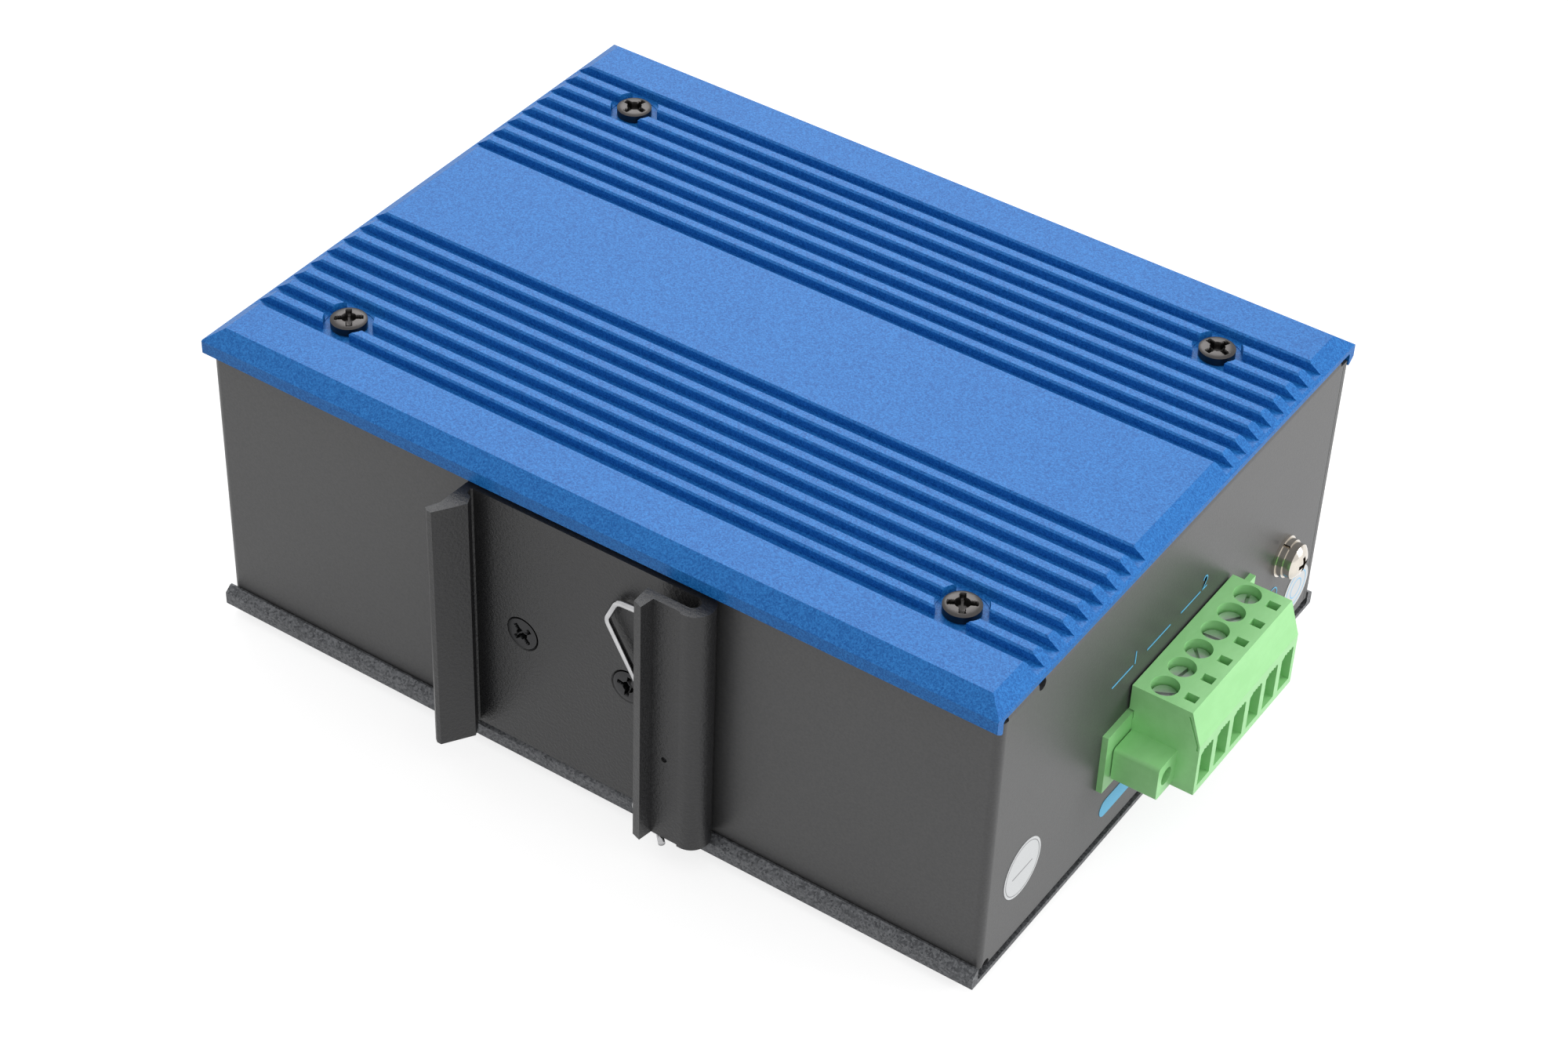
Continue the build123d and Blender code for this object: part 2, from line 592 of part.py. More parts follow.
def terminal_header():
    """The board's socket for the plug, with the flange plate that shows outside the case."""
    outer = HEADER_WIDTH / 2
    inner = PLUG_WIDTH / 2 + FIT_GAP
    body = block(header_back_x(), WALL_X, PLUG_Y - outer, PLUG_Y + outer, BOARD_TOP, TONGUE_TOP_Z + HEADER_WALL)
    half_plate = EAR_Y + EAR_BLOCK_WIDTH / 2 + PLATE_MARGIN
    body += block(WALL_X, WALL_X + PLATE_THICKNESS, PLUG_Y - half_plate, PLUG_Y + half_plate,
                  PLATE_BASE_Z, PLATE_TOP_Z)
    body -= block(header_back_x() + HEADER_BACK, WALL_X + 2, PLUG_Y - inner, PLUG_Y + inner,
                  TONGUE_BASE_Z - FIT_GAP, TONGUE_TOP_Z + FIT_GAP)
    for y in POLE_Y:
        body -= block(header_back_x() - 1, header_back_x() + HEADER_BACK + 1, y - PIN_SIZE / 2, y + PIN_SIZE / 2,
                      pin_z() - PIN_SIZE / 2, pin_z() + PIN_SIZE / 2)
    middle = (EAR_BLOCK_BASE_Z + EAR_BLOCK_TOP_Z) / 2
    for y in (PLUG_Y - EAR_Y, PLUG_Y + EAR_Y):
        body -= facing(WALL_X, y, middle, (1, 0, 0)) * hole(M3_TAPPED_RADIUS)
    return body


def pin_z():
    """The level of the header's pins."""
    return (TONGUE_BASE_Z + TONGUE_TOP_Z) / 2


def header_pin(y):
    """A square pin: along the plug, then down through the board."""
    back = header_back_x() - 2 * PIN_SIZE
    half = PIN_SIZE / 2
    pin = block(back, header_back_x() + HEADER_BACK + PIN_REACH, y - half, y + half, pin_z() - half, pin_z() + half)
    return pin + block(back, back + PIN_SIZE, y - half, y + half, BOARD_UNDERSIDE - 1.5, pin_z() + half)


def plug_outline():
    """The plug's side view, from its tongue to its sloping face."""
    back = PLUG_BACK_X
    front = PLUG_FRONT_X
    ledge = PLATE_TOP_Z + 0.3
    return Polyline((back - PLUG_TONGUE, TONGUE_BASE_Z), (back, TONGUE_BASE_Z), (back, PLUG_BASE_Z),
                    (front, PLUG_BASE_Z), (front, PLUG_SLOPE_Z), (front - PLUG_SLOPE_RUN, PLUG_TOP_Z),
                    (WALL_X + 0.3, PLUG_TOP_Z), (WALL_X + 0.3, ledge), (back, ledge),
                    (back, TONGUE_TOP_Z), (back - PLUG_TONGUE, TONGUE_TOP_Z), (back - PLUG_TONGUE, TONGUE_BASE_Z))


def window_cut(y):
    """A wire's way in: a tall slot with a row of small saw teeth along its roof."""
    half = WINDOW_WIDTH / 2
    pitch = WINDOW_WIDTH / (WINDOW_TEETH + 1)
    points = [(y - half, WINDOW_BASE_Z), (y + half, WINDOW_BASE_Z), (y + half, WINDOW_TOP_Z - WINDOW_TOOTH)]
    for i in range(WINDOW_TEETH):
        tooth = y + half - pitch * (i + 1)
        points += [(tooth, WINDOW_TOP_Z), (tooth, WINDOW_TOP_Z - WINDOW_TOOTH)]
    points += [(y - half, WINDOW_TOP_Z - 2 * WINDOW_TOOTH), points[0]]
    face = FORWARD_X * make_face(Polyline(*points))
    mouth = Pos(PLUG_FRONT_X - WINDOW_FRAME, 0, 0) * extrude(face, WINDOW_FRAME + 1)
    return mouth + block(PLUG_FRONT_X - WINDOW_DEPTH, PLUG_FRONT_X - WINDOW_FRAME, y - half, y + half,
                         WINDOW_BASE_Z, WINDOW_TOP_Z)


def front_cap_seam():
    """The joint line of the plug's front cap on its side, which follows the slope and then drops."""
    top_x = PLUG_FRONT_X - PLUG_SLOPE_RUN
    knee = PLUG_FRONT_X - 2 * SEAM
    return make_face(Polyline((top_x - 2 * SEAM, PLUG_TOP_Z - 1), (top_x - SEAM, PLUG_TOP_Z - 1),
                              (knee + SEAM, PLUG_SLOPE_Z), (knee + SEAM, PLUG_SLOPE_Z - 1), (knee, PLUG_SLOPE_Z - 1),
                              (knee, PLUG_SLOPE_Z), (top_x - 2 * SEAM, PLUG_TOP_Z - 1)))


def terminal_plug():
    """The green plug: screw wells above, wire windows in front, a fixing block at each end."""
    outline = BACK_Y * make_face(plug_outline())
    body = Pos(0, PLUG_Y, 0) * extrude(outline, PLUG_WIDTH / 2, both=True)
    seam = BACK_Y * front_cap_seam()
    for side in (-1, 1):
        inner = PLUG_Y + side * (PLUG_WIDTH / 2 - 0.5)
        outer = PLUG_Y + side * (PLUG_WIDTH / 2 + EAR_BLOCK_WIDTH)
        ear = block(PLUG_BACK_X + 0.1, PLUG_BACK_X + EAR_BLOCK_REACH, min(inner, outer), max(inner, outer),
                    EAR_BLOCK_BASE_Z, EAR_BLOCK_TOP_Z)
        edges = [e for e in ear.edges().filter_by(Axis.X) if abs(e.center().Y - outer) < 0.01]
        body += fillet(edges, 0.6)
        body -= facing(PLUG_BACK_X, PLUG_Y + side * EAR_Y, (EAR_BLOCK_BASE_Z + EAR_BLOCK_TOP_Z) / 2,
                       (1, 0, 0)) * Cylinder(EAR_HOLE_RADIUS, 4 * EAR_BLOCK_REACH)
        body -= Pos(0, PLUG_Y + side * PLUG_WIDTH / 2, 0) * extrude(seam, SEAM, both=True)
    for y in POLE_Y:
        well_x = WALL_X + WELL_OUT
        body -= rod(WELL_RADIUS, PLUG_TOP_Z - WELL_DEPTH, PLUG_TOP_Z + 1, well_x, y)
        body -= bore(CLAMP_SCREW_SHANK + SHANK_GAP, WINDOW_TOP_Z - 1, PLUG_TOP_Z, well_x, y)
        test_x = WALL_X + TEST_HOLE_OUT
        body -= block(test_x - TEST_HOLE / 2, test_x + TEST_HOLE / 2, y - 0.8, y + 0.8,
                      PLUG_TOP_Z - TEST_HOLE_DEPTH, PLUG_TOP_Z + 1)
        body -= window_cut(y)
        body -= block(PLUG_BACK_X - PLUG_TONGUE - 1, PLUG_FRONT_X - WINDOW_DEPTH + 1, y - 0.9, y + 0.9,
                      pin_z() - 0.9, pin_z() + 0.9)
    return body


def wire_clamp(y):
    """A steel cage that the clamp screw pulls up on the wire."""
    x = WALL_X + WELL_OUT
    base = WINDOW_BASE_Z + 0.1
    half = CLAMP_WIDTH / 2
    body = block(x - CLAMP_LENGTH / 2, x + CLAMP_LENGTH / 2, y - half, y + half, base, base + CLAMP_HEIGHT)
    body -= block(x - CLAMP_LENGTH, x + CLAMP_LENGTH, y - half + CLAMP_WALL, y + half - CLAMP_WALL,
                  base + CLAMP_WALL, base + CLAMP_HEIGHT - CLAMP_WALL)
    roof = base + CLAMP_HEIGHT
    return body - bore(CLAMP_SCREW_SHANK + FIT_GAP, roof - 2 * CLAMP_WALL, roof + 1, x, y)


def clamp_screw(y):
    """A slotted screw at the bottom of a well."""
    x = WALL_X + WELL_OUT
    seat = PLUG_TOP_Z - WELL_DEPTH + FIT_GAP
    body = rod(CLAMP_SCREW_RADIUS, seat, seat + CLAMP_SCREW_HEAD, x, y)
    body += bore(CLAMP_SCREW_SHANK, seat - CLAMP_SCREW_LENGTH, seat, x, y)
    top = seat + CLAMP_SCREW_HEAD
    return body - block(x - 3, x + 3, y - SLOT_WIDTH / 2, y + SLOT_WIDTH / 2, top - SLOT_DEPTH, top + 1)


def plug_fixing_screw(y):
    """A slotted screw that holds the plug to the header's plate."""
    top = FIXING_HEAD_BASE + FIXING_HEAD
    body = rod(EAR_HOLE_RADIUS - FIT_GAP, FIXING_HEAD_BASE, top) + bore(FIXING_SHANK, -FIXING_REACH, FIXING_HEAD_BASE)
    body -= block(-3, 3, -SLOT_WIDTH / 2, SLOT_WIDTH / 2, top - SLOT_DEPTH, top + 1)
    return facing(WALL_X + PLATE_THICKNESS, y, (EAR_BLOCK_BASE_Z + EAR_BLOCK_TOP_Z) / 2, (1, 0, 0)) * body


def ring(outer, inner, height):
    """A flat ring that stands on z = 0."""
    return rod(outer, 0, height) - bore(inner, -1, height + 1)


def nut(across_flats, inner, height):
    """A hexagonal nut that stands on z = 0."""
    return hexagon_post(across_flats, 0, height) - bore(inner, -1, height + 1)


def earth_stack():
    """The earth screw, its washers and the nut pressed into the wall, in their own nodes."""
    place = facing(WALL_X, EARTH_Y, EARTH_Z, (1, 0, 0))
    spring = ring(SPRING_WASHER_RADIUS, M4_RADIUS + 0.1, SPRING_WASHER)
    gap = Rot(0, 0, 20) * block(0, SPRING_WASHER_RADIUS + 1, -SPRING_WASHER_CUT / 2, SPRING_WASHER_CUT / 2, -1, 3)
    seat = PLAIN_WASHER + SPRING_WASHER
    screw = domed_screw(EARTH_HEAD_RADIUS, EARTH_HEAD_HEIGHT, 1.1, M4_RADIUS, EARTH_SCREW_LENGTH)
    earth_nut = Pos(0, 0, -SHEET - NUT_HEIGHT) * nut(NUT_ACROSS_FLATS, M4_TAPPED_RADIUS, NUT_HEIGHT)
    return {
        "earth_plain_washer": place * ring(PLAIN_WASHER_RADIUS, M4_RADIUS + 0.1, PLAIN_WASHER),
        "earth_spring_washer": place * (Pos(0, 0, PLAIN_WASHER) * (spring - gap)),
        "earth_screw": place * (Pos(0, 0, seat) * screw),
        "earth_nut": place * earth_nut,
    }


def clip_outline():
    """The rail clip's section: along X, and outwards from the front of its plate."""
    a = CLIP_LEFT_X
    q = CLIP_ARM_X
    back = -CLIP_PLATE
    front = CLIP_SLOT + CLIP_ARM
    bend = (front - back) / 2
    centre = CLIP_SLOT / 2
    slot_end = q + CLIP_SLOT_DEPTH - centre
    arm_end = slot_end + 0.5
    tall = CLIP_HOOK_OUT
    hook = Polyline((arm_end, back), (a - 2.0, back), (a - 2.3, 5.1), (a - 3.35, tall - 0.5), (a - 2.7, tall),
                    (a - 1.9, tall), (a + 1.15, 3.15), (a + 0.4, 1.6), (a - 0.5, 1.15), (a - 0.65, 0.2),
                    (a - 0.4, 0), (slot_end, 0))
    slot = ThreePointArc((slot_end, 0), (slot_end + centre, centre), (slot_end, CLIP_SLOT))
    tip = Polyline((slot_end, CLIP_SLOT), (q - 2.3, CLIP_SLOT), (q - 2.15, CLIP_TIP_OUT - 0.5),
                   (q - 0.6, CLIP_TIP_OUT), (q - 0.2, front - 0.3), (q + 0.2, front - 0.3), (q + 4.5, front - 0.3),
                   (q + 4.7, front), (arm_end, front))
    bend_arc = ThreePointArc((arm_end, front), (arm_end + bend, centre), (arm_end, back))
    return hook + slot + tip + bend_arc


def rail_clip():
    """The black extrusion that hooks over a 35 mm rail."""
    top = CLIP_BASE_Z + CLIP_HEIGHT
    plane = Plane(origin=(0, CLIP_FRONT_Y, top), x_dir=(1, 0, 0), z_dir=(0, 0, -1))
    body = extrude(plane * make_face(clip_outline()), CLIP_HEIGHT)
    for x in CLIP_SCREW_X:
        body -= facing(x, CLIP_FRONT_Y, CLIP_SCREW_Z, (0, -1, 0)) * countersink(
            COUNTERSINK_RADIUS, M3_FREE_RADIUS, CLIP_PLATE + 1)
    arm_face = CLIP_FRONT_Y - CLIP_SLOT - CLIP_ARM
    body -= facing(CLIP_ARM_X + 2.0, arm_face, CLIP_DIMPLE_Z, (0, -1, 0)) * Cylinder(
        CLIP_DIMPLE_RADIUS, 2 * CLIP_DIMPLE_DEPTH)
    return body


def bent_path(points, radius):
    """A bent wire's middle line, with a few straight pieces round each corner."""
    path = [points[0]]
    for before, corner, after in zip(points, points[1:], points[2:]):
        back = (before - corner).normalized()
        ahead = (after - corner).normalized()
        half = math.radians(back.get_angle(ahead)) / 2
        centre = corner + (back + ahead).normalized() * (radius / math.sin(half))
        start = corner + back * (radius / math.tan(half)) - centre
        end = corner + ahead * (radius / math.tan(half)) - centre
        for i in range(BEND_STEPS + 1):
            share = i / BEND_STEPS
            path.append(centre + (start * (1 - share) + end * share).normalized() * radius)
    return path + [points[-1]]


def clip_spring():
    """The bent wire that pushes the rail against the fixed hook."""
    inside = CLIP_ARM_X + CLIP_SLOT_DEPTH - CLIP_SLOT / 2 - WIRE_RADIUS
    top = CLIP_BASE_Z + CLIP_HEIGHT
    y = CLIP_FRONT_Y - CLIP_SLOT / 2
    middle = CLIP_BASE_Z + CLIP_HEIGHT / 2
    upper = [(inside, top - WIRE_END_SHARE * CLIP_HEIGHT), (WIRE_TIP_X, top - WIRE_TIP_SHARE * CLIP_HEIGHT),
             (inside, top - WIRE_RETURN_SHARE * CLIP_HEIGHT)]
    lower = [(x, 2 * middle - z) for x, z in reversed(upper)]
    path = bent_path([Vector(x, y, z) for x, z in upper + lower], WIRE_BEND)
    section = Plane(origin=path[0], z_dir=path[1] - path[0]) * RegularPolygon(WIRE_RADIUS, HIDDEN_SIDES)
    return sweep(section, Polyline(*path), transition=Transition.RIGHT)


def heat_spreader():
    """A folded aluminium hat from the switching chip up to the ribbed cover."""
    base = BOARD_TOP + CHIP_HEIGHT + PAD_THICKNESS
    top = CASE_TOP - PAD_THICKNESS
    half = SPREADER_BASE / 2
    reach = half + SPREADER_FLANGE
    sheet = SPREADER_SHEET
    points = [(-half, base), (half, base), (half, top - sheet), (reach, top - sheet), (reach, top),
              (half - sheet, top), (half - sheet, base + sheet), (-half + sheet, base + sheet),
              (-half + sheet, top), (-reach, top), (-reach, top - sheet), (-half, top - sheet)]
    face = make_face(Polyline(*points, points[0]))
    bends = [v for v in face.vertices() if abs(abs(v.X) - half) < 0.01 and v.Y < base + 0.01]
    bends += [v for v in face.vertices() if abs(abs(v.X) - half + sheet) < 0.01 and v.Y > top - 0.01]
    face = fillet(bends, sheet)
    return Pos(CHIP_X, CHIP_Y, 0) * extrude(BACK_Y * face, SPREADER_WIDTH / 2, both=True)


def cover_pads():
    """Soft pads between the heat spreader's flanges and the ribbed cover."""
    pads = []
    for side in (-1, 1):
        x = CHIP_X + side * (SPREADER_BASE / 2 + SPREADER_FLANGE / 2)
        pads.append(Pos(x, CHIP_Y, CASE_TOP - PAD_THICKNESS / 2) * Box(
            SPREADER_FLANGE - 2 * PAD_MARGIN, SPREADER_WIDTH - 2 * PAD_MARGIN, PAD_THICKNESS))
    return Compound(pads)


def on_board(x, y, sx, sy, sz):
    """A block-shaped part soldered on the board."""
    return Pos(x, y, BOARD_TOP + sz / 2) * Box(sx, sy, sz)


def can_capacitor(x, y):
    """An upright capacitor can."""
    return rod(CAPACITOR_RADIUS, BOARD_TOP, BOARD_TOP + CAPACITOR_HEIGHT, x, y)


def transformer_place():
    """Where the middle of the converter's transformer stands."""
    return Pos(TRANSFORMER_X, TRANSFORMER_Y, BOARD_TOP + TRANSFORMER_LIFT + CORE_HEIGHT / 2)


def transformer_core():
    """The two halves of the converter's ferrite core, closed round its winding."""
    window = Box(CORE_LENGTH - 2 * CORE_LIMB, CORE_WIDTH + 1, CORE_HEIGHT - 2 * CORE_LIMB)
    return transformer_place() * (Box(CORE_LENGTH, CORE_WIDTH, CORE_HEIGHT) - window)


def transformer_winding():
    """The bobbin and its wound wire, through the core's window."""
    inset = 2 * (CORE_LIMB + WINDING_GAP)
    return transformer_place() * Box(CORE_LENGTH - inset, WINDING_WIDTH, CORE_HEIGHT - inset)


def transformer_feet():
    """The pin strips that stand the transformer on the board."""
    length = CORE_LENGTH - 2 * (CORE_LIMB + WINDING_GAP)
    spread = (WINDING_WIDTH - FOOT_WIDTH - WINDING_GAP) / 2
    height = TRANSFORMER_LIFT + CORE_LIMB + WINDING_GAP
    return Compound([on_board(TRANSFORMER_X, TRANSFORMER_Y + side * spread, length, FOOT_WIDTH, height)
                     for side in (-1, 1)])


def build_nodes():
    """Every node of the switch, by name."""
    head_seat = HEIGHT - HEAD_WELL_DEPTH
    cover_screw = domed_screw(HEAD_RADIUS, HEAD_HEIGHT, HEAD_DOME, M3_RADIUS, SCREW_LENGTH)
    base_screw = flat_screw(HEAD_RADIUS, M3_RADIUS, SCREW_LENGTH)
    clip_screw = flat_screw(CLIP_HEAD_RADIUS, M3_RADIUS, SCREW_LENGTH)
    clip_nut = nut(CLIP_NUT_ACROSS_FLATS, M3_TAPPED_RADIUS, NUT_HEIGHT)
    chip_z = BOARD_TOP + CHIP_HEIGHT
    pad = CHIP_SIZE - 2 * PAD_MARGIN
    capacitor_y = BOARD_BACK_Y + CAPACITOR_RADIUS + CAPACITOR_EDGE_GAP
    memory_x = BOARD_HALF_LENGTH - MEMORY_END_GAP
    inductor_y = MAGNETICS_Y - INDUCTOR_BEHIND_MAGNETICS
    nodes = {
        "ribbed_cover": heatsink_cover(),
        "lower_cover": lower_cover(),
        "case_wrap": case_wrap(),
        "port_panel": port_panel(),
        "circuit_board": circuit_board(),
        "lower_posts": Compound([Pos(x, y, 0) * lower_post() for x, y in CORNERS]),
        "upper_posts": Compound([Pos(x, y, 0) * upper_post() for x, y in CORNERS]),
        "ribbed_cover_screws": Compound([Pos(x, y, head_seat) * cover_screw for x, y in CORNERS]),
        "lower_cover_screws": Compound([facing(x, y, 0, (0, 0, -1)) * base_screw for x, y in CORNERS]),
        "port_contacts": port_contacts(),
        "light_pipes": Compound([light_pipe(x, y) for x, y in LAMPS]),
        "status_lamps": Compound([lamp(x, y) for x, y in LAMPS]),
        "terminal_header": terminal_header(),
        "header_pins": Compound([header_pin(y) for y in POLE_Y]),
        "terminal_plug": terminal_plug(),
        "wire_clamps": Compound([wire_clamp(y) for y in POLE_Y]),
        "clamp_screws": Compound([clamp_screw(y) for y in POLE_Y]),
        "plug_fixing_screws": Compound([plug_fixing_screw(PLUG_Y + s * EAR_Y) for s in (-1, 1)]),
        "rail_clip": rail_clip(),
        "rail_clip_spring": clip_spring(),
        "rail_clip_screws": Compound([facing(x, CLIP_FRONT_Y - 0.05, CLIP_SCREW_Z, (0, -1, 0)) * clip_screw
                                      for x in CLIP_SCREW_X]),
        "rail_clip_nuts": Compound([facing(x, -WALL_Y + SHEET, CLIP_SCREW_Z, (0, 1, 0)) * clip_nut
                                    for x in CLIP_SCREW_X]),
        "switch_chip": on_board(CHIP_X, CHIP_Y, CHIP_SIZE, CHIP_SIZE, CHIP_HEIGHT),
        "chip_pad": Pos(CHIP_X, CHIP_Y, chip_z + PAD_THICKNESS / 2) * Box(pad, pad, PAD_THICKNESS),
        "heat_spreader": heat_spreader(),
        "cover_pads": cover_pads(),
        "port_transformers": Compound([on_board(x, MAGNETICS_Y, MAGNETICS_LENGTH, MAGNETICS_WIDTH, MAGNETICS_HEIGHT)
                                       for x in COPPER_X[:-1]]),
        "filter_capacitors": Compound([can_capacitor(FIRST_CAPACITOR_X + CAPACITOR_PITCH * i, capacitor_y)
                                       for i in range(CAPACITORS)]),
        "power_inductor": on_board(INDUCTOR_X, inductor_y, INDUCTOR_SIZE, INDUCTOR_SIZE, INDUCTOR_HEIGHT),
        "transformer_core": transformer_core(),
        "transformer_winding": transformer_winding(),
        "transformer_feet": transformer_feet(),
        "clock_crystal": on_board(memory_x, BOARD_BACK_Y + CRYSTAL_BACK_GAP, CRYSTAL_LENGTH, CRYSTAL_WIDTH,
                                  CRYSTAL_HEIGHT),
        "memory_chip": on_board(memory_x, BOARD_BACK_Y + MEMORY_BACK_GAP, MEMORY_LENGTH, MEMORY_WIDTH,
                                MEMORY_HEIGHT),
    }
    for i, x in enumerate(COPPER_X, 1):
        nodes[f"port_body_{i}"] = port_body(x)
        nodes[f"port_shell_{i}"] = port_shell(x)
    for i, x in enumerate(CAGE_X, 1):
        nodes[f"fibre_cage_{i}"] = fibre_cage(x)
    nodes.update(earth_stack())
    return nodes


os.makedirs("parts", exist_ok=True)
for name, shape in build_nodes().items():
    export_step(shape, f"parts/{name}.step")
    print(name, round(shape.volume, 1))
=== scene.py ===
import logging
import math
from dataclasses import dataclass, replace
from enum import Enum
from typing import Sequence

import bmesh
import bpy
import numpy as np
from mathutils import Matrix, Vector


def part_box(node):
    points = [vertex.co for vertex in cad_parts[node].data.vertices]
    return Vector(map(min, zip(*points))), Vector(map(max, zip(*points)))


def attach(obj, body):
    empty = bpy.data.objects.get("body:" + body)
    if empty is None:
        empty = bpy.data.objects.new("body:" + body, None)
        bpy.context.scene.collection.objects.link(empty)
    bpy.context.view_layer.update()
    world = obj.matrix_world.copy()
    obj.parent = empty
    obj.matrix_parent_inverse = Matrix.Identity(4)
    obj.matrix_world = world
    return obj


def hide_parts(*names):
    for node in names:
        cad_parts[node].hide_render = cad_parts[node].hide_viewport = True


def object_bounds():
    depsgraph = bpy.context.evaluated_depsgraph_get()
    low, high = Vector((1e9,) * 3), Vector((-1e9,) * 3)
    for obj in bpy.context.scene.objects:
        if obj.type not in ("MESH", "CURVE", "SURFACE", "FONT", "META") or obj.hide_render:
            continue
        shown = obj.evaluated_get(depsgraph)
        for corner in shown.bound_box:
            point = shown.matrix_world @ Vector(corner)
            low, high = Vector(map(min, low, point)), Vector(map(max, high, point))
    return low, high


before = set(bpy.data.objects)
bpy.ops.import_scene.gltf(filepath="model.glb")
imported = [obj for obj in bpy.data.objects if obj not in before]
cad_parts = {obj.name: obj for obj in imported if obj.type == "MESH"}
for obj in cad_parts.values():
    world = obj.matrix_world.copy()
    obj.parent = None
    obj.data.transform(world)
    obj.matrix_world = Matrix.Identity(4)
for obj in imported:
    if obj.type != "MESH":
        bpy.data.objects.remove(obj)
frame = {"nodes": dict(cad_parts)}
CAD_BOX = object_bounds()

LOG = logging.getLogger("switch")
MM = 0.001
MARK_GAP = 0.01 * MM
Colour = tuple[float, float, float]
Point = tuple[float, float, float]
Pair = tuple[float, float]
Faces = list[Sequence[int]]


class Drawn(Enum):
    """The way that a metal was drawn or rolled, as the scale of its streaks along x, y and z."""

    EVENLY = (1.0, 1.0, 1.0)
    ALONG_X = (0.2, 1.0, 1.0)
    ALONG_Y = (1.0, 0.2, 1.0)
    ROUND_X = (1.0, 0.3, 0.3)


class Head(Enum):
    """The two forms of screw head under the rim: a straight side, or a cone down to the shank."""

    PAN = "pan"
    COUNTERSUNK = "countersunk"


class Value:
    """A shader socket that can be used in arithmetic.

    Each operator adds one Math node and gives back its result, so a + b * 2 is written as it is read.
    """

    def __init__(self, shader: "NodeTree", socket: bpy.types.NodeSocket) -> None:
        """Keeps the node tree and the output socket."""
        self.shader = shader
        self.socket = socket

    def _math(self, operation: str, *values: object) -> "Value":
        """Adds one Math node with the given operation and values."""
        sockets = dict(enumerate(values))
        return self.shader.add("ShaderNodeMath", {"operation": operation}, sockets).out()

    def __add__(self, other: object) -> "Value":
        """self + other."""
        return self._math("ADD", self, other)

    __radd__ = __add__

    def __sub__(self, other: object) -> "Value":
        """self - other."""
        return self._math("SUBTRACT", self, other)

    def __rsub__(self, other: object) -> "Value":
        """other - self."""
        return self._math("SUBTRACT", other, self)

    def __mul__(self, other: object) -> "Value":
        """self * other."""
        return self._math("MULTIPLY", self, other)

    __rmul__ = __mul__

    def __truediv__(self, other: object) -> "Value":
        """self / other."""
        return self._math("DIVIDE", self, other)

    def fraction(self) -> "Value":
        """The part of self after its whole number."""
        return self._math("FRACT", self)

    def above(self, level: float) -> "Value":
        """1 where self is more than the level, and 0 elsewhere."""
        return self._math("GREATER_THAN", self, level)

    def clamped(self) -> "Value":
        """self kept between 0 and 1."""
        return self._math("MINIMUM", self._math("MAXIMUM", self, 0.0), 1.0)

    def step(self, low: float, high: float) -> "Value":
        """A straight ramp: 0 at low and below, 1 at high and above."""
        return ((self - low) / (high - low)).clamped()


class Node:
    """A shader node whose outputs are taken as values."""

    def __init__(self, shader: "NodeTree", node: bpy.types.Node) -> None:
        """Keeps the node tree and its node."""
        self.shader = shader
        self.node = node

    def out(self, name: str | int = 0) -> Value:
        """The named or numbered output."""
        return Value(self.shader, self.node.outputs[name])


class NodeTree:
    """A material's or the world's nodes, with one method that makes every node."""

    def __init__(self, owner: bpy.types.Material | bpy.types.World) -> None:
        """Empties the owner's node tree.

        Args:
            owner: the material or world that the nodes belong to.
        """
        owner.use_nodes = True
        self.tree = owner.node_tree
        self.tree.nodes.clear()

    def add(self, kind: str, settings: dict | None = None, sockets: dict | None = None) -> Node:
        """Makes one node.

        Args:
            kind: the node's type.
            settings: its own settings, such as a Math node's operation, which are set first.
            sockets: values or links, by socket name or number.

        Returns:
            The new node.
        """
        node = self.tree.nodes.new(kind)
        for key, value in (settings or {}).items():
            setattr(node, key, value)
        for key, value in (sockets or {}).items():
            self.feed(node.inputs[key], value)
        return Node(self, node)

    def feed(self, socket: bpy.types.NodeSocket, value: object) -> None:
        """Links a value to a socket, or writes a plain number or colour in it.

        Args:
            socket: the input.
            value: a Value, a number, or a colour or vector of three numbers.
        """
        if isinstance(value, Value):
            self.tree.links.new(value.socket, socket)
        elif isinstance(value, tuple) and len(value) == 3 and socket.type == "RGBA":
            socket.default_value = (*value, 1.0)
        else:
            socket.default_value = value

    def blend(self, factor: Value, first: Colour, second: Colour) -> Value:
        """Mixes two colours: first where the factor is 0, second where it is 1."""
        return self.add("ShaderNodeMix", {"data_type": "RGBA"}, {0: factor, 6: first, 7: second}).out(2)


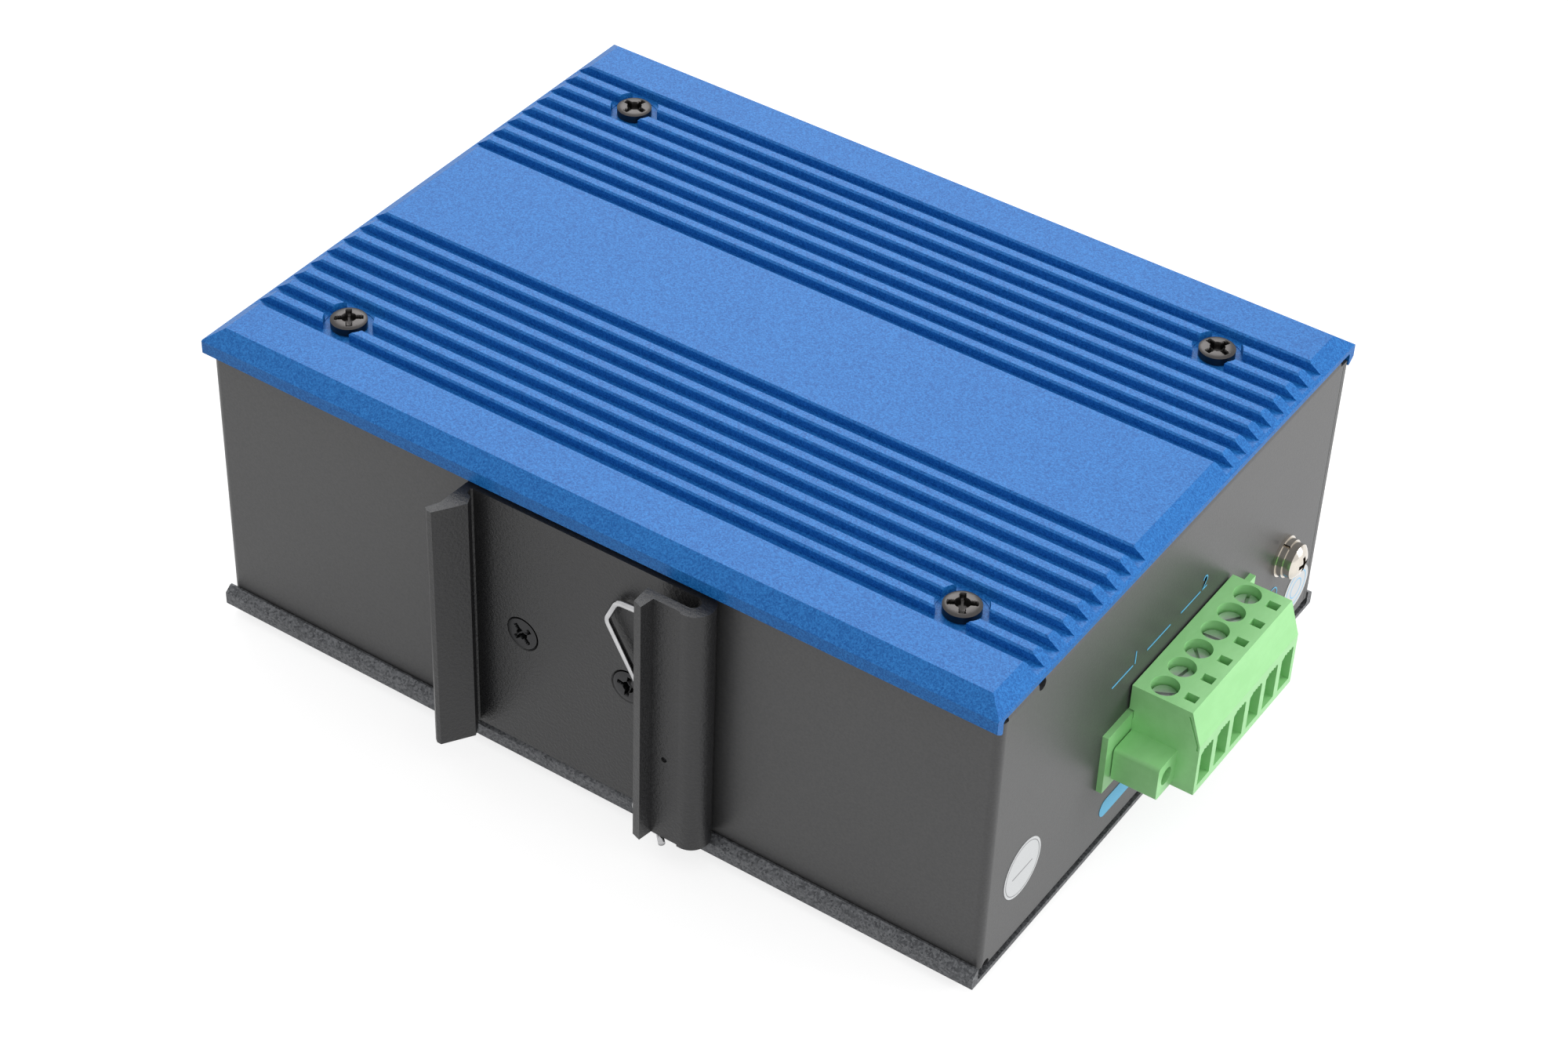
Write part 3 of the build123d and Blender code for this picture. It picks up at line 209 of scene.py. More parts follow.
class Shader(NodeTree):
    """A material under construction."""

    def __init__(self, name: str) -> None:
        """Starts an empty material.

        Args:
            name: the material's name.
        """
        self.material = bpy.data.materials.new(name)
        super().__init__(self.material)

    def place(self) -> Value:
        """Object coordinates, in metres."""
        return self.add("ShaderNodeTexCoord").out("Object")

    def stretched(self, scale: Point) -> Value:
        """Object coordinates, multiplied by a scale along each axis."""
        return self.add("ShaderNodeMapping", {}, {"Vector": self.place(), "Scale": scale}).out()

    def noise(self, scale: float, detail: float = 2.0, rough: float = 0.5,
              where: Value | None = None) -> Value:
        """Smooth noise with about `scale` waves a metre."""
        return self.add("ShaderNodeTexNoise", {}, {"Vector": where or self.place(), "Scale": scale,
                                                   "Detail": detail, "Roughness": rough}).out()

    def cells(self, scale: float, distance: str = "EUCLIDEAN") -> Node:
        """Cells of about 1 / scale metres, each with its own random colour."""
        sockets = {"Vector": self.place(), "Scale": scale}
        return self.add("ShaderNodeTexVoronoi", {"distance": distance}, sockets)

    def bump(self, height: Value, distance: float, strength: float) -> Value:
        """A normal raised by the height, times the distance in metres."""
        sockets = {"Height": height, "Distance": distance, "Strength": strength}
        return self.add("ShaderNodeBump", {}, sockets).out()

    def finish(self, sockets: dict) -> bpy.types.Material:
        """Closes the material with a Principled surface.

        Args:
            sockets: the surface's values or links, by name.

        Returns:
            The finished material.
        """
        surface = self.add("ShaderNodeBsdfPrincipled", {}, sockets)
        self.add("ShaderNodeOutputMaterial", {}, {"Surface": surface.out()})
        return self.material


@dataclass(frozen=True)
class FlakePaint:
    """Satin metallic coating: fine bright and dark flakes under a soft clear coat."""

    name: str
    deep: Colour
    bright: Colour
    flake: float = 0.20 * MM
    roughness: float = 0.38
    metallic: float = 0.05
    coat: float = 0.45
    coat_roughness: float = 0.36
    grain: float = 0.3
    specular: float = 0.0
    cloud_scale: float = 60.0
    relief: float = 0.06 * MM

    def build(self) -> bpy.types.Material:
        """Makes the coating.

        Returns:
            The material. Its colour is deep + (bright - deep) * amount, and the amount is half the cells'
            own tones, half fine noise, and a little of a wide cloud, stretched to reach from 0 to 1.
        """
        shader = Shader(self.name)
        flakes = shader.cells(1 / self.flake)
        tone = shader.add("ShaderNodeSeparateColor", {}, {0: flakes.out("Color")}).out()
        soft = shader.noise(0.6 / self.flake, 3.0)
        cloud = shader.noise(self.cloud_scale)
        amount = (tone * 0.5 + soft * 0.5 + (cloud - 0.5) * 0.12).step(0.2, 0.85)
        return shader.finish({
            "Base Color": shader.blend(amount, self.deep, self.bright), "Metallic": self.metallic,
            "Roughness": self.roughness + (soft - 0.5) * 0.16, "Specular IOR Level": self.specular,
            "Coat Weight": self.coat, "Coat Roughness": self.coat_roughness,
            "Normal": shader.bump(tone * 0.5 + soft, self.relief, self.grain)})


@dataclass(frozen=True)
class PowderCoat:
    """Black satin coating with the shallow pebbled skin that sprayed powder leaves."""

    name: str
    colour: Colour
    roughness: float
    pebble: float
    height: float
    cloud_scale: float = 35.0
    relief: float = 0.12 * MM

    def build(self) -> bpy.types.Material:
        """Makes the coating.

        Returns:
            The material. Its height is three parts of wide pebbles to one of fine grain, and its colour is
            a little lighter on the pebbles' tops: a painted highlight, spread unevenly by a wide cloud.
        """
        shader = Shader(self.name)
        pebbles = shader.noise(1 / self.pebble, 2.0, 0.55)
        fine = shader.noise(4.5 / self.pebble, 2.0, 0.6)
        cloud = shader.noise(self.cloud_scale)
        # painted highlight: the pebbles' tops get a lighter colour, varied by a wide cloud
        lighter = tuple(c * 1.35 + 0.004 for c in self.colour)
        tops = (pebbles * 0.7 + fine * 0.3 + (cloud - 0.5) * 0.3).step(0.35, 0.75)
        return shader.finish({
            "Base Color": shader.blend(tops, self.colour, lighter),
            "Roughness": self.roughness + (fine - 0.5) * 0.14 + (cloud - 0.5) * 0.08,
            "Normal": shader.bump(pebbles * 0.75 + fine * 0.25, self.relief, self.height)})


@dataclass(frozen=True)
class Plating:
    """Plated or bare metal, with faint drawing lines and small tarnish clouds."""

    name: str
    colour: Colour
    roughness: float
    drawn: Drawn = Drawn.EVENLY
    lines: float = 0.08
    streak_scale: float = 2600.0
    cloud_scale: float = 300.0
    relief: float = 0.03 * MM

    def build(self) -> bpy.types.Material:
        """Makes the metal.

        Returns:
            The material. Its streaks are noise stretched the way that it was drawn, and clouds dull its
            colour to 0.78 of itself.
        """
        shader = Shader(self.name)
        streaks = shader.noise(self.streak_scale, 3.0, 0.6, shader.stretched(self.drawn.value))
        cloud = shader.noise(self.cloud_scale)
        dull = tuple(c * 0.78 for c in self.colour)
        return shader.finish({
            "Base Color": shader.blend((cloud * 0.8 + streaks * 0.2).step(0.35, 0.75), dull, self.colour),
            "Metallic": 1.0, "Roughness": self.roughness + (streaks - 0.5) * 0.16 + (cloud - 0.5) * 0.08,
            "Normal": shader.bump(streaks, self.relief, self.lines)})


@dataclass(frozen=True)
class Moulding:
    """Moulded plastic with slight flow marks and a fine skin."""

    name: str
    colour: Colour
    pale: Colour
    roughness: float
    skin: float = 0.12
    depth: float = 0.0
    scatter: Point = (0.8 * MM, 1.2 * MM, 0.6 * MM)
    flow: Point = (1.0, 0.45, 1.0)
    mark_scale: float = 420.0
    grain_scale: float = 5200.0
    relief: float = 0.05 * MM

    def build(self) -> bpy.types.Material:
        """Makes the plastic.

        Returns:
            The material. Pale flow marks run along y over the base colour, and the bump is 0.4 of them and
            0.6 of a fine grain.
        """
        shader = Shader(self.name)
        marks = shader.noise(self.mark_scale, 3.0, 0.6, shader.stretched(self.flow))
        fine = shader.noise(self.grain_scale)
        return shader.finish({
            "Base Color": shader.blend(marks.step(0.38, 0.72), self.colour, self.pale),
            "Roughness": self.roughness + (marks - 0.5) * 0.16 + (fine - 0.5) * 0.05,
            "Subsurface Weight": self.depth, "Subsurface Radius": self.scatter,
            "Normal": shader.bump(marks * 0.4 + fine * 0.6, self.relief, self.skin)})


@dataclass(frozen=True)
class Ink:
    """Screen-printed ink or a paper sticker: flat colour with slight print grain."""

    name: str
    colour: Colour
    roughness: float = 0.5
    grain_scale: float = 6000.0

    def build(self) -> bpy.types.Material:
        """Makes the ink.

        Returns:
            The material. A fine noise lightens its colour by a few hundredths.
        """
        shader = Shader(self.name)
        grain = shader.noise(self.grain_scale)
        pale = tuple(min(1.0, c * 1.06 + 0.01) for c in self.colour)
        return shader.finish({"Base Color": shader.blend(grain.step(0.3, 0.7), self.colour, pale),
                              "Roughness": self.roughness + (grain - 0.5) * 0.1})


@dataclass(frozen=True)
class BoardMask:
    """Green solder mask with copper runs that show through it as lighter bands."""

    name: str
    mask: Colour = (0.008, 0.09, 0.035)
    copper: Colour = (0.02, 0.18, 0.07)
    cell_scale: float = 260.0
    bands: float = 9.0
    mask_share: float = 0.6
    relief: float = 0.04 * MM

    def build(self) -> bpy.types.Material:
        """Makes the board's skin.

        Returns:
            The material. Its runs are even bands of the distance, added up along the axes, to the nearest
            middle of a cell.
        """
        shader = Shader(self.name)
        distance = shader.cells(self.cell_scale, "MANHATTAN").out("Distance")
        runs = (distance * self.bands).fraction().above(self.mask_share)
        return shader.finish({
            "Base Color": shader.blend(runs, self.mask, self.copper), "Roughness": 0.32 + 0.1 * runs,
            "Normal": shader.bump(runs, self.relief, 0.4)})


@dataclass(frozen=True)
class ClearMoulding:
    """Clear plastic that lets light through, slightly frosted in its skin."""

    name: str
    colour: Colour = (0.93, 0.96, 0.95)
    clearness: float = 0.85
    bending: float = 1.49
    haze_scale: float = 1500.0

    def build(self) -> bpy.types.Material:
        """Makes the plastic.

        Returns:
            The material. Its roughness is 0.06 and up to 0.12 of soft noise.
        """
        shader = Shader(self.name)
        haze = shader.noise(self.haze_scale)
        return shader.finish({"Base Color": self.colour, "Roughness": 0.06 + haze * 0.12,
                              "IOR": self.bending, "Transmission Weight": self.clearness})


@dataclass(frozen=True)
class Finishes:
    """Every finish of the switch, in one place."""

    blue: FlakePaint = FlakePaint("blue_coat", (0.002, 0.085, 0.32), (0.025, 0.20, 0.56))
    grey: FlakePaint = FlakePaint("grey_coat", (0.035, 0.037, 0.042), (0.17, 0.175, 0.185), flake=0.3 * MM,
                                  roughness=0.5, metallic=0.45, coat=0.1, grain=0.6, specular=0.5)
    case: PowderCoat = PowderCoat("case_coat", (0.046, 0.046, 0.047), 0.40, 0.35 * MM, 0.18)
    clip: PowderCoat = PowderCoat("clip_coat", (0.015, 0.015, 0.016), 0.38, 0.5 * MM, 0.9)
    screw: Plating = Plating("black_oxide", (0.05, 0.05, 0.052), 0.3)
    cover_screw: Plating = Plating("dark_oxide", (0.085, 0.08, 0.079), 0.34)
    wire: Plating = Plating("spring_wire", (0.56, 0.56, 0.57), 0.2)
    nickel: Plating = Plating("nickel_plate", (0.74, 0.69, 0.62), 0.14, Drawn.ROUND_X)
    steel: Plating = Plating("zinc_steel", (0.62, 0.63, 0.65), 0.28)
    # painted light: a lighter copy of the steel, which makes up for the shade at the bottom of the plug's
    # wells
    painted_light_steel: Plating = Plating("painted_light_steel", (0.86, 0.87, 0.87), 0.34)
    tinned: Plating = Plating("tinned_sheet", (0.70, 0.70, 0.70), 0.25, Drawn.ALONG_Y)
    aluminium: Plating = Plating("bare_aluminium", (0.72, 0.72, 0.73), 0.35, Drawn.ALONG_X)
    gold: Plating = Plating("gold_contact", (0.85, 0.62, 0.22), 0.22)
    green: Moulding = Moulding("terminal_green", (0.29, 0.66, 0.26), (0.33, 0.71, 0.30), 0.36, 0.14, 0.08)
    black: Moulding = Moulding("port_black", (0.012, 0.012, 0.013), (0.022, 0.022, 0.024), 0.42)
    ferrite: Moulding = Moulding("ferrite", (0.03, 0.03, 0.033), (0.06, 0.06, 0.065), 0.55, 0.3)
    chip: Moulding = Moulding("chip_body", (0.02, 0.02, 0.021), (0.035, 0.035, 0.037), 0.5, 0.3)
    pad: Moulding = Moulding("soft_pad", (0.30, 0.36, 0.44), (0.38, 0.44, 0.52), 0.7, 0.4)
    tape: Moulding = Moulding("winding_tape", (0.60, 0.42, 0.05), (0.75, 0.56, 0.1), 0.35)
    sleeve: Moulding = Moulding("can_sleeve", (0.01, 0.02, 0.10), (0.02, 0.04, 0.16), 0.28)
    lamp: Moulding = Moulding("lamp_body", (0.75, 0.78, 0.55), (0.85, 0.88, 0.65), 0.3)
    board: BoardMask = BoardMask("board_mask")
    clear: ClearMoulding = ClearMoulding("clear_pipe")
    print_blue: Ink = Ink("pale_blue_ink", (0.10, 0.42, 0.66))
    paper: Ink = Ink("white_paper", (0.60, 0.61, 0.62))
    print_grey: Ink = Ink("grey_ink", (0.22, 0.22, 0.23))
    ring: Ink = Ink("ring_blue", (0.20, 0.52, 0.78))


@dataclass(frozen=True)
class Dressing:
    """Which finish goes on which node of the model."""

    finishes: Finishes

    def plan(self) -> dict[str, Sequence[str]]:
        """The finish's field name for each group of nodes, matched by the start of the node's name."""
        return {
            "blue": ["ribbed_cover"], "grey": ["lower_cover"], "case": ["case_wrap", "port_panel"],
            "clip": ["rail_clip"], "wire": ["rail_clip_spring"],
            "screw": ["ribbed_cover_screws", "lower_cover_screws", "rail_clip_screws"],
            "nickel": ["earth_screw", "earth_plain_washer", "earth_spring_washer"],
            "steel": ["lower_posts", "upper_posts", "header_pins", "wire_clamps", "clamp_screws",
                      "plug_fixing_screws", "rail_clip_nuts", "earth_nut", "clock_crystal"],
            "tinned": ["port_shell", "fibre_cage"], "aluminium": ["heat_spreader"],
            "gold": ["port_contacts"], "green": ["terminal_plug", "terminal_header"],
            "black": ["port_body", "transformer_feet"], "ferrite": ["power_inductor", "transformer_core"],
            "chip": ["switch_chip", "port_transformers", "memory_chip"], "pad": ["chip_pad", "cover_pads"],
            "tape": ["transformer_winding"], "sleeve": ["filter_capacitors"], "lamp": ["status_lamps"],
            "board": ["circuit_board"], "clear": ["light_pipes"],
        }

    def apply(self, nodes: dict[str, bpy.types.Object]) -> None:
        """Gives every node its finish; the longest matching name wins.

        Args:
            nodes: the model's objects by node name.
        """
        starts = {start: key for key, names in self.plan().items() for start in names}
        made: dict[str, bpy.types.Material] = {}
        for name, obj in nodes.items():
            key = starts[max((start for start in starts if name.startswith(start)), key=len)]
            if key not in made:
                made[key] = getattr(self.finishes, key).build()
            if not obj.material_slots:
                obj.data.materials.append(made[key])
            for material_slot in obj.material_slots:
                material_slot.material = made[key]
            LOG.info("dressed %s with %s", name, key)


def node_corners(node: str) -> tuple[np.ndarray, np.ndarray]:
    """The lowest and highest corners of one of the model's nodes, in millimetres."""
    low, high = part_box(node)
    return np.array(low) / MM, np.array(high) / MM


def grid_faces(rows: int, columns: int) -> Faces:
    """Quads between neighbouring rows of points, each row closed into a ring.

    Args:
        rows: number of rings.
        columns: points on each ring, numbered on from ring to ring.

    Returns:
        The four point numbers of each quad.
    """
    row, column = np.meshgrid(np.arange(rows - 1), np.arange(columns), indexing="ij")
    nearer = row * columns + column
    beside = row * columns + (column + 1) % columns
    return np.stack([nearer, beside, beside + columns, nearer + columns], axis=-1).reshape(-1, 4).tolist()


def sheet_mesh(name: str, verts: np.ndarray, faces: Faces) -> bpy.types.Object:
    """Puts points and faces into a new object.

    Args:
        name: the object's name.
        verts: one row of x, y, z in metres for each point.
        faces: point numbers of each face.

    Returns:
        The object, linked to the scene.
    """
    mesh = bpy.data.meshes.new(name)
    mesh.from_pydata(verts.tolist(), [], faces)
    mesh.update()
    obj = bpy.data.objects.new(name, mesh)
    bpy.context.scene.collection.objects.link(obj)
    return obj


def point_outwards(obj: bpy.types.Object) -> None:
    """Joins a closed mesh's doubled points and turns every face outwards.

    Args:
        obj: the piece.
    """
    mesh = bmesh.new()
    mesh.from_mesh(obj.data)
    bmesh.ops.remove_doubles(mesh, verts=mesh.verts, dist=0.0001 * MM)
    bmesh.ops.recalc_face_normals(mesh, faces=mesh.faces)
    mesh.to_mesh(obj.data)
    mesh.free()


def hand_over(obj: bpy.types.Object, material: bpy.types.Material, node: str = "",
              smooth_to: float = 0.0) -> bpy.types.Object:
    """Ends the making of a new piece, and reports it.

    Args:
        obj: the piece, a closed mesh.
        material: its finish.
        node: the model's node that it stands for, if there is one.
        smooth_to: the largest angle in degrees that is shaded as a curve; 0 leaves every face flat.

    Returns:
        The same piece.
    """
    point_outwards(obj)
    if smooth_to:
        obj.data.polygons.foreach_set("use_smooth", np.ones(len(obj.data.polygons), dtype=bool))
        obj.data.set_sharp_from_angle(angle=math.radians(smooth_to))
    obj.data.materials.append(material)
    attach(obj, "root")
    if node:
        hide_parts(node)
    LOG.info("made %s: %d faces, finish %s", obj.name, len(obj.data.polygons), material.name)
    return obj


@dataclass
class Marks:
    """Printed marks and stickers on the terminal face, each a thin closed film on the sheet.

    The face's place and the film's thickness are in metres. Every size and place on the face is in
    millimetres, along y and z.
    """

    face_x: float
    film: float = 0.06 * MM
    ink_thinner: float = 3.0
    steps: int = 48
    tip_steps: int = 9
    sweep_steps: int = 20
    closing: float = 0.02
    left_sticker: Pair = (-40.8, 17.2)
    left_radius: float = 5.1
    left_ring: Pair = (4.7, 4.58)
    left_bar: Pair = (2.7, -0.4)
    right_sticker: Pair = (45.9, 10.0)
    right_radius: float = 4.2
    right_rings: tuple[tuple[str, float], ...] = (("outer", 3.4), ("inner", 1.9))
    ring_width: float = 0.2
    stroke: float = 0.24
    earth_sign: Pair = (36.3, 14.7)
    earth_ring: Pair = (1.9, 1.7)
    earth_stem: float = 1.1
    earth_bars: tuple[float, ...] = (0.95, 0.62, 0.3)
    earth_pitch: float = 0.45
    field: tuple[Pair, Pair] = ((-15.6, 9.4), (-2.0, 9.4))
    field_width: float = 3.4
    print_line: float = 35.9
    print_groups: tuple[Pair, ...] = ((-18.4, -12.4), (-8.0, -1.2), (2.2, 8.0))
    figure_gap: float = 0.7
    figure_height: float = 2.3
    figure_arc: float = 0.62
    figure_sweep: Pair = (-38.0, 170.0)

    def film_piece(self, name: str, outline: np.ndarray, material: bpy.types.Material,
                   hole: np.ndarray | None = None, slot: str = "blue_cover") -> bpy.types.Object:
        """A film with the given outline, standing `film` off the face.

        Args:
            name: the object's name.
            outline: rows of y, z in metres, counter-clockwise as seen from outside.
            material: its finish.
            hole: an inner outline with as many points, or None for a full film.
            slot: not used.

        Returns:
            The film: rings of points joined by quads. Round a hole they run up the outer edge, over the
            top, down the inner edge and back under the film. Otherwise they run up the edge and over the
            top to a ring `closing` times the outline's size, and one face closes that ring and one the base.
        """
        count = len(outline)
        if hole is None:
            middle = outline.mean(axis=0)
            small = middle + (outline - middle) * self.closing
            rings = [(outline, 0.0), (outline, self.film), (small, self.film)]
            caps = [range(2 * count, 3 * count), range(count)[::-1]]
        else:
            rings = [(outline, 0.0), (outline, self.film), (hole, self.film), (hole, 0.0), (outline, 0.0)]
            caps = []
        verts = np.concatenate([np.column_stack([np.full(count, self.face_x + lift), ring])
                                for ring, lift in rings])
        return hand_over(sheet_mesh(name, verts, grid_faces(len(rings), count) + caps), material)

    def circle(self, y: float, z: float, radius: float) -> np.ndarray:
        """Points on a circle: y + r cos t, z + r sin t."""
        angle = np.linspace(0, 2 * np.pi, self.steps, endpoint=False)
        return np.column_stack([y + radius * np.cos(angle), z + radius * np.sin(angle)]) * MM

    def bar(self, start: Pair, end: Pair, width: float) -> np.ndarray:
        """A straight stroke with round ends.

        Args:
            start: y and z of one end.
            end: y and z of the other.
            width: across the stroke.

        Returns:
            The outline: a half circle of the width about each end, turned to the stroke's direction.
        """
        ends = np.array([start, end])
        along = ends[1] - ends[0]
        turn = math.atan2(along[1], along[0])
        half = np.linspace(-np.pi / 2, np.pi / 2, self.tip_steps)
        tip = np.column_stack([np.cos(half + turn), np.sin(half + turn)]) * width / 2
        return np.concatenate([ends[1] + tip, ends[0] - tip]) * MM

    def curved_stroke(self, y: float, z: float) -> np.ndarray:
        """The upper part of a figure 2.

        Args:
            y: place of its foot's left end.
            z: height of its foot.

        Returns:
            The outline of a stroke: a line from the foot, then an arc of `figure_arc` about the figure's
            head, both moved half a stroke to each side along their own normals.
        """
        angle = np.linspace(*np.radians(self.figure_sweep), self.sweep_steps)
        head = np.column_stack([np.cos(angle), np.sin(angle)]) * self.figure_arc
        head += (self.figure_arc, self.figure_height - self.figure_arc)
        line = np.concatenate([[(0.0, 0.0)], head])
        along = np.gradient(line, axis=0)
        along /= np.linalg.norm(along, axis=1, keepdims=True)
        normal = np.column_stack([-along[:, 1], along[:, 0]]) * self.stroke / 2
        return (np.concatenate([line + normal, (line - normal)[::-1]]) + (y, z)) * MM

    def stickers(self, paper: bpy.types.Material, ring: bpy.types.Material,
                 grey: bpy.types.Material) -> None:
        """Makes the two round stickers: the left one with a ring and a bar, the right one with two rings.

        Args:
            paper: the stickers' own finish.
            ring: finish of the right one's rings.
            grey: finish of the left one's ring and bar.
        """
        left, right, slot = self.left_sticker, self.right_sticker, "bare_aluminium"
        self.film_piece("round_sticker", self.circle(*left, self.left_radius), paper, slot=slot)
        self.film_piece("ringed_sticker", self.circle(*right, self.right_radius), paper, slot=slot)
        above = replace(self, face_x=self.face_x + self.film, film=self.film / self.ink_thinner)
        outer, inner = self.left_ring
        above.film_piece("round_sticker_ring", above.circle(*left, outer), grey, above.circle(*left, inner))
        reach, rise = self.left_bar
        y, z = left[0], left[1] + rise
        bar = above.bar((y - reach, z), (y + reach, z), self.ring_width)
        above.film_piece("round_sticker_bar", bar, grey)
        for name, radius in self.right_rings:
            above.film_piece(f"sticker_{name}_ring", above.circle(*right, radius), ring,
                             above.circle(*right, radius - self.ring_width))

    def earth(self, ink: bpy.types.Material) -> None:
        """Makes the common earth sign: a ring about a stem and three bars, each shorter than the last.

        Args:
            ink: its finish.
        """
        y, z = self.earth_sign
        outer, inner = self.earth_ring
        self.film_piece("earth_ring", self.circle(y, z, outer), ink, self.circle(y, z, inner))
        self.film_piece("earth_stem", self.bar((y, z + self.earth_stem), (y, z), self.stroke), ink)
        for i, reach in enumerate(self.earth_bars):
            level = z - self.earth_pitch * i
            outline = self.bar((y - reach, level), (y + reach, level), self.stroke)
            self.film_piece(f"earth_bar_{i + 1}", outline, ink)

    def figures(self, ink: bpy.types.Material) -> None:
        """Makes the three plain rules over the plug, with the figures 1 and 2.

        Args:
            ink: their finish.
        """
        z = self.print_line
        for i, (start, end) in enumerate(self.print_groups):
            self.film_piece(f"print_rule_{i + 1}", self.bar((start, z), (end, z), self.stroke), ink)
        one = self.print_groups[0][1] + self.figure_gap
        two = self.print_groups[2][1] + self.figure_gap
        self.film_piece("figure_one", self.bar((one, z), (one, z + self.figure_height), self.stroke), ink)
        self.film_piece("figure_two", self.curved_stroke(two, z), ink)
        foot = self.bar((two, z), (two + 2 * self.figure_arc, z), self.stroke)
        self.film_piece("figure_two_foot", foot, ink)

    def build(self, finishes: Finishes) -> None:
        """Makes every mark: stickers, the earth sign, the polarity field, and the rules and figures.

        Args:
            finishes: where the inks and the paper come from.
        """
        ink = finishes.print_blue.build()
        self.stickers(finishes.paper.build(), finishes.ring.build(), finishes.print_grey.build())
        self.earth(ink)
        self.film_piece("polarity_field", self.bar(*self.field, self.field_width), ink)
        self.figures(ink)


@dataclass
class CrossScrews:
    """Screws with the wide cross recess of the real ones, in place of one group of the model's screws.

    Lengths are in millimetres, and the recess is given as shares of the head's radius.
    """

    node: str
    head: Head
    radius: float
    rim: float = 0.3
    shank: float = 1.5
    side: float = 1.5
    arm_half: float = 0.15
    reach: float = 0.72
    middle: float = 0.36
    wall: float = 0.10
    depth: float = 0.40
    floor_rise: float = 0.45
    turn_step: float = 0.7
    around: int = 96
    steps: int = 34
    smooth_to: float = 40.0

    def recess(self, x: np.ndarray, y: np.ndarray) -> np.ndarray:
        """Depth of the recess below the head's top.

        Args:
            x: places along the first arm, as shares of the radius.
            y: places along the second arm.

        Returns:
            Millimetres. The distance inside the cross is the larger of two: to the arms' sides and ends,
            and to the round middle. It is turned to a smooth step over the wall's width, and the floor
            rises by `floor_rise` of its depth from the middle to the rim.
        """
        near, far, out = np.minimum(abs(x), abs(y)), np.maximum(abs(x), abs(y)), np.hypot(x, y)
        inside = np.maximum(np.minimum(self.arm_half - near, self.reach - far), self.middle - out)
        share = np.clip(inside / self.wall, 0, 1)
        return self.depth * self.radius * share ** 2 * (3 - 2 * share) * (1 - self.floor_rise * out)

    def shell(self, length: float, turn: float) -> np.ndarray:
        """One screw with its top at the origin, pointing up.

        Args:
            length: from the head's top to the shank's end.
            turn: the cross's angle.

        Returns:
            Rings of points: a flat top that falls by the rim's height times the sixth power of the share of
            the radius, less the recess, then the head's side or cone, the shank and its closed end.
        """
        angle = np.linspace(0, 2 * np.pi, self.around, endpoint=False)
        share = np.linspace(0, 1, self.steps)[:, None]
        cross = self.recess(share * np.cos(angle - turn), share * np.sin(angle - turn))
        if self.head is Head.PAN:
            under = [(self.radius, -self.side), (self.shank, -self.side)]
        else:
            under = [(self.shank, -self.rim - (self.radius - self.shank))]
        lower = np.array(under + [(self.shank, -length), (0.0, -length)])
        radii = np.concatenate([share * self.radius, lower[:, :1]])
        heights = np.concatenate([-self.rim * share ** 6 - cross, lower[:, 1:] + 0 * angle])
        return np.stack([radii * np.cos(angle), radii * np.sin(angle), heights], axis=-1)

    def group(self, tops: np.ndarray, length: float, axes: np.ndarray,
              material: bpy.types.Material) -> bpy.types.Object:
        """Makes the group as one piece of separate closed shells.

        Args:
            tops: the middle of each head's top.
            length: from the head's top to the shank's end.
            axes: rows that are the screws' own x, y and z in the model's frame.
            material: their finish.

        Returns:
            The screws.
        """
        shells = np.array([self.shell(length, self.turn_step * (i + 1)) @ axes + top
                           for i, top in enumerate(tops)])
        rings = shells.shape[1]
        one = np.array(grid_faces(rings, self.around))
        faces = np.concatenate([one + i * rings * self.around for i in range(len(shells))]).tolist()
        obj = sheet_mesh(f"{self.node}_crossed", shells.reshape(-1, 3) * MM, faces)
        return hand_over(obj, material, self.node, self.smooth_to)


@dataclass
class CoverScrews(CrossScrews):
    """The ribbed cover's four screws, which point up, their heads level with the ribs."""

    node: str = "ribbed_cover_screws"
    head: Head = Head.PAN
    radius: float = 2.9
    arm_half: float = 0.17
    reach: float = 0.78
    middle: float = 0.42
    depth: float = 0.55
    below_top: float = 0.4

    def build(self, material: bpy.types.Material) -> bpy.types.Object:
        """Makes the screws.

        Args:
            material: their finish.

        Returns:
            The screws, one in each corner of the model's own group and `below_top` lower.
        """
        low, high = node_corners(self.node)
        top = high[2] - self.below_top
        tops = np.array([(x, y, top) for x in (low[0] + self.radius, high[0] - self.radius)
                         for y in (low[1] + self.radius, high[1] - self.radius)])
        return self.group(tops, top - low[2], np.eye(3), material)


@dataclass
class ClipScrews(CrossScrews):
    """The rail clip's two countersunk screws, which point to the rail."""

    node: str = "rail_clip_screws"
    head: Head = Head.COUNTERSUNK
    radius: float = 2.75
    rim: float = 0.08

    def build(self, material: bpy.types.Material) -> bpy.types.Object:
        """Makes the screws.

        Args:
            material: their finish.

        Returns:
            The screws, one at each end of the model's own group.
        """
        low, high = node_corners(self.node)
        level = (low[2] + high[2]) / 2
        tops = np.array([(x, low[1], level) for x in (low[0] + self.radius, high[0] - self.radius)])
        towards_rail = np.array([(1.0, 0.0, 0.0), (0.0, 0.0, 1.0), (0.0, -1.0, 0.0)])
        return self.group(tops, high[1] - low[1], towards_rail, material)


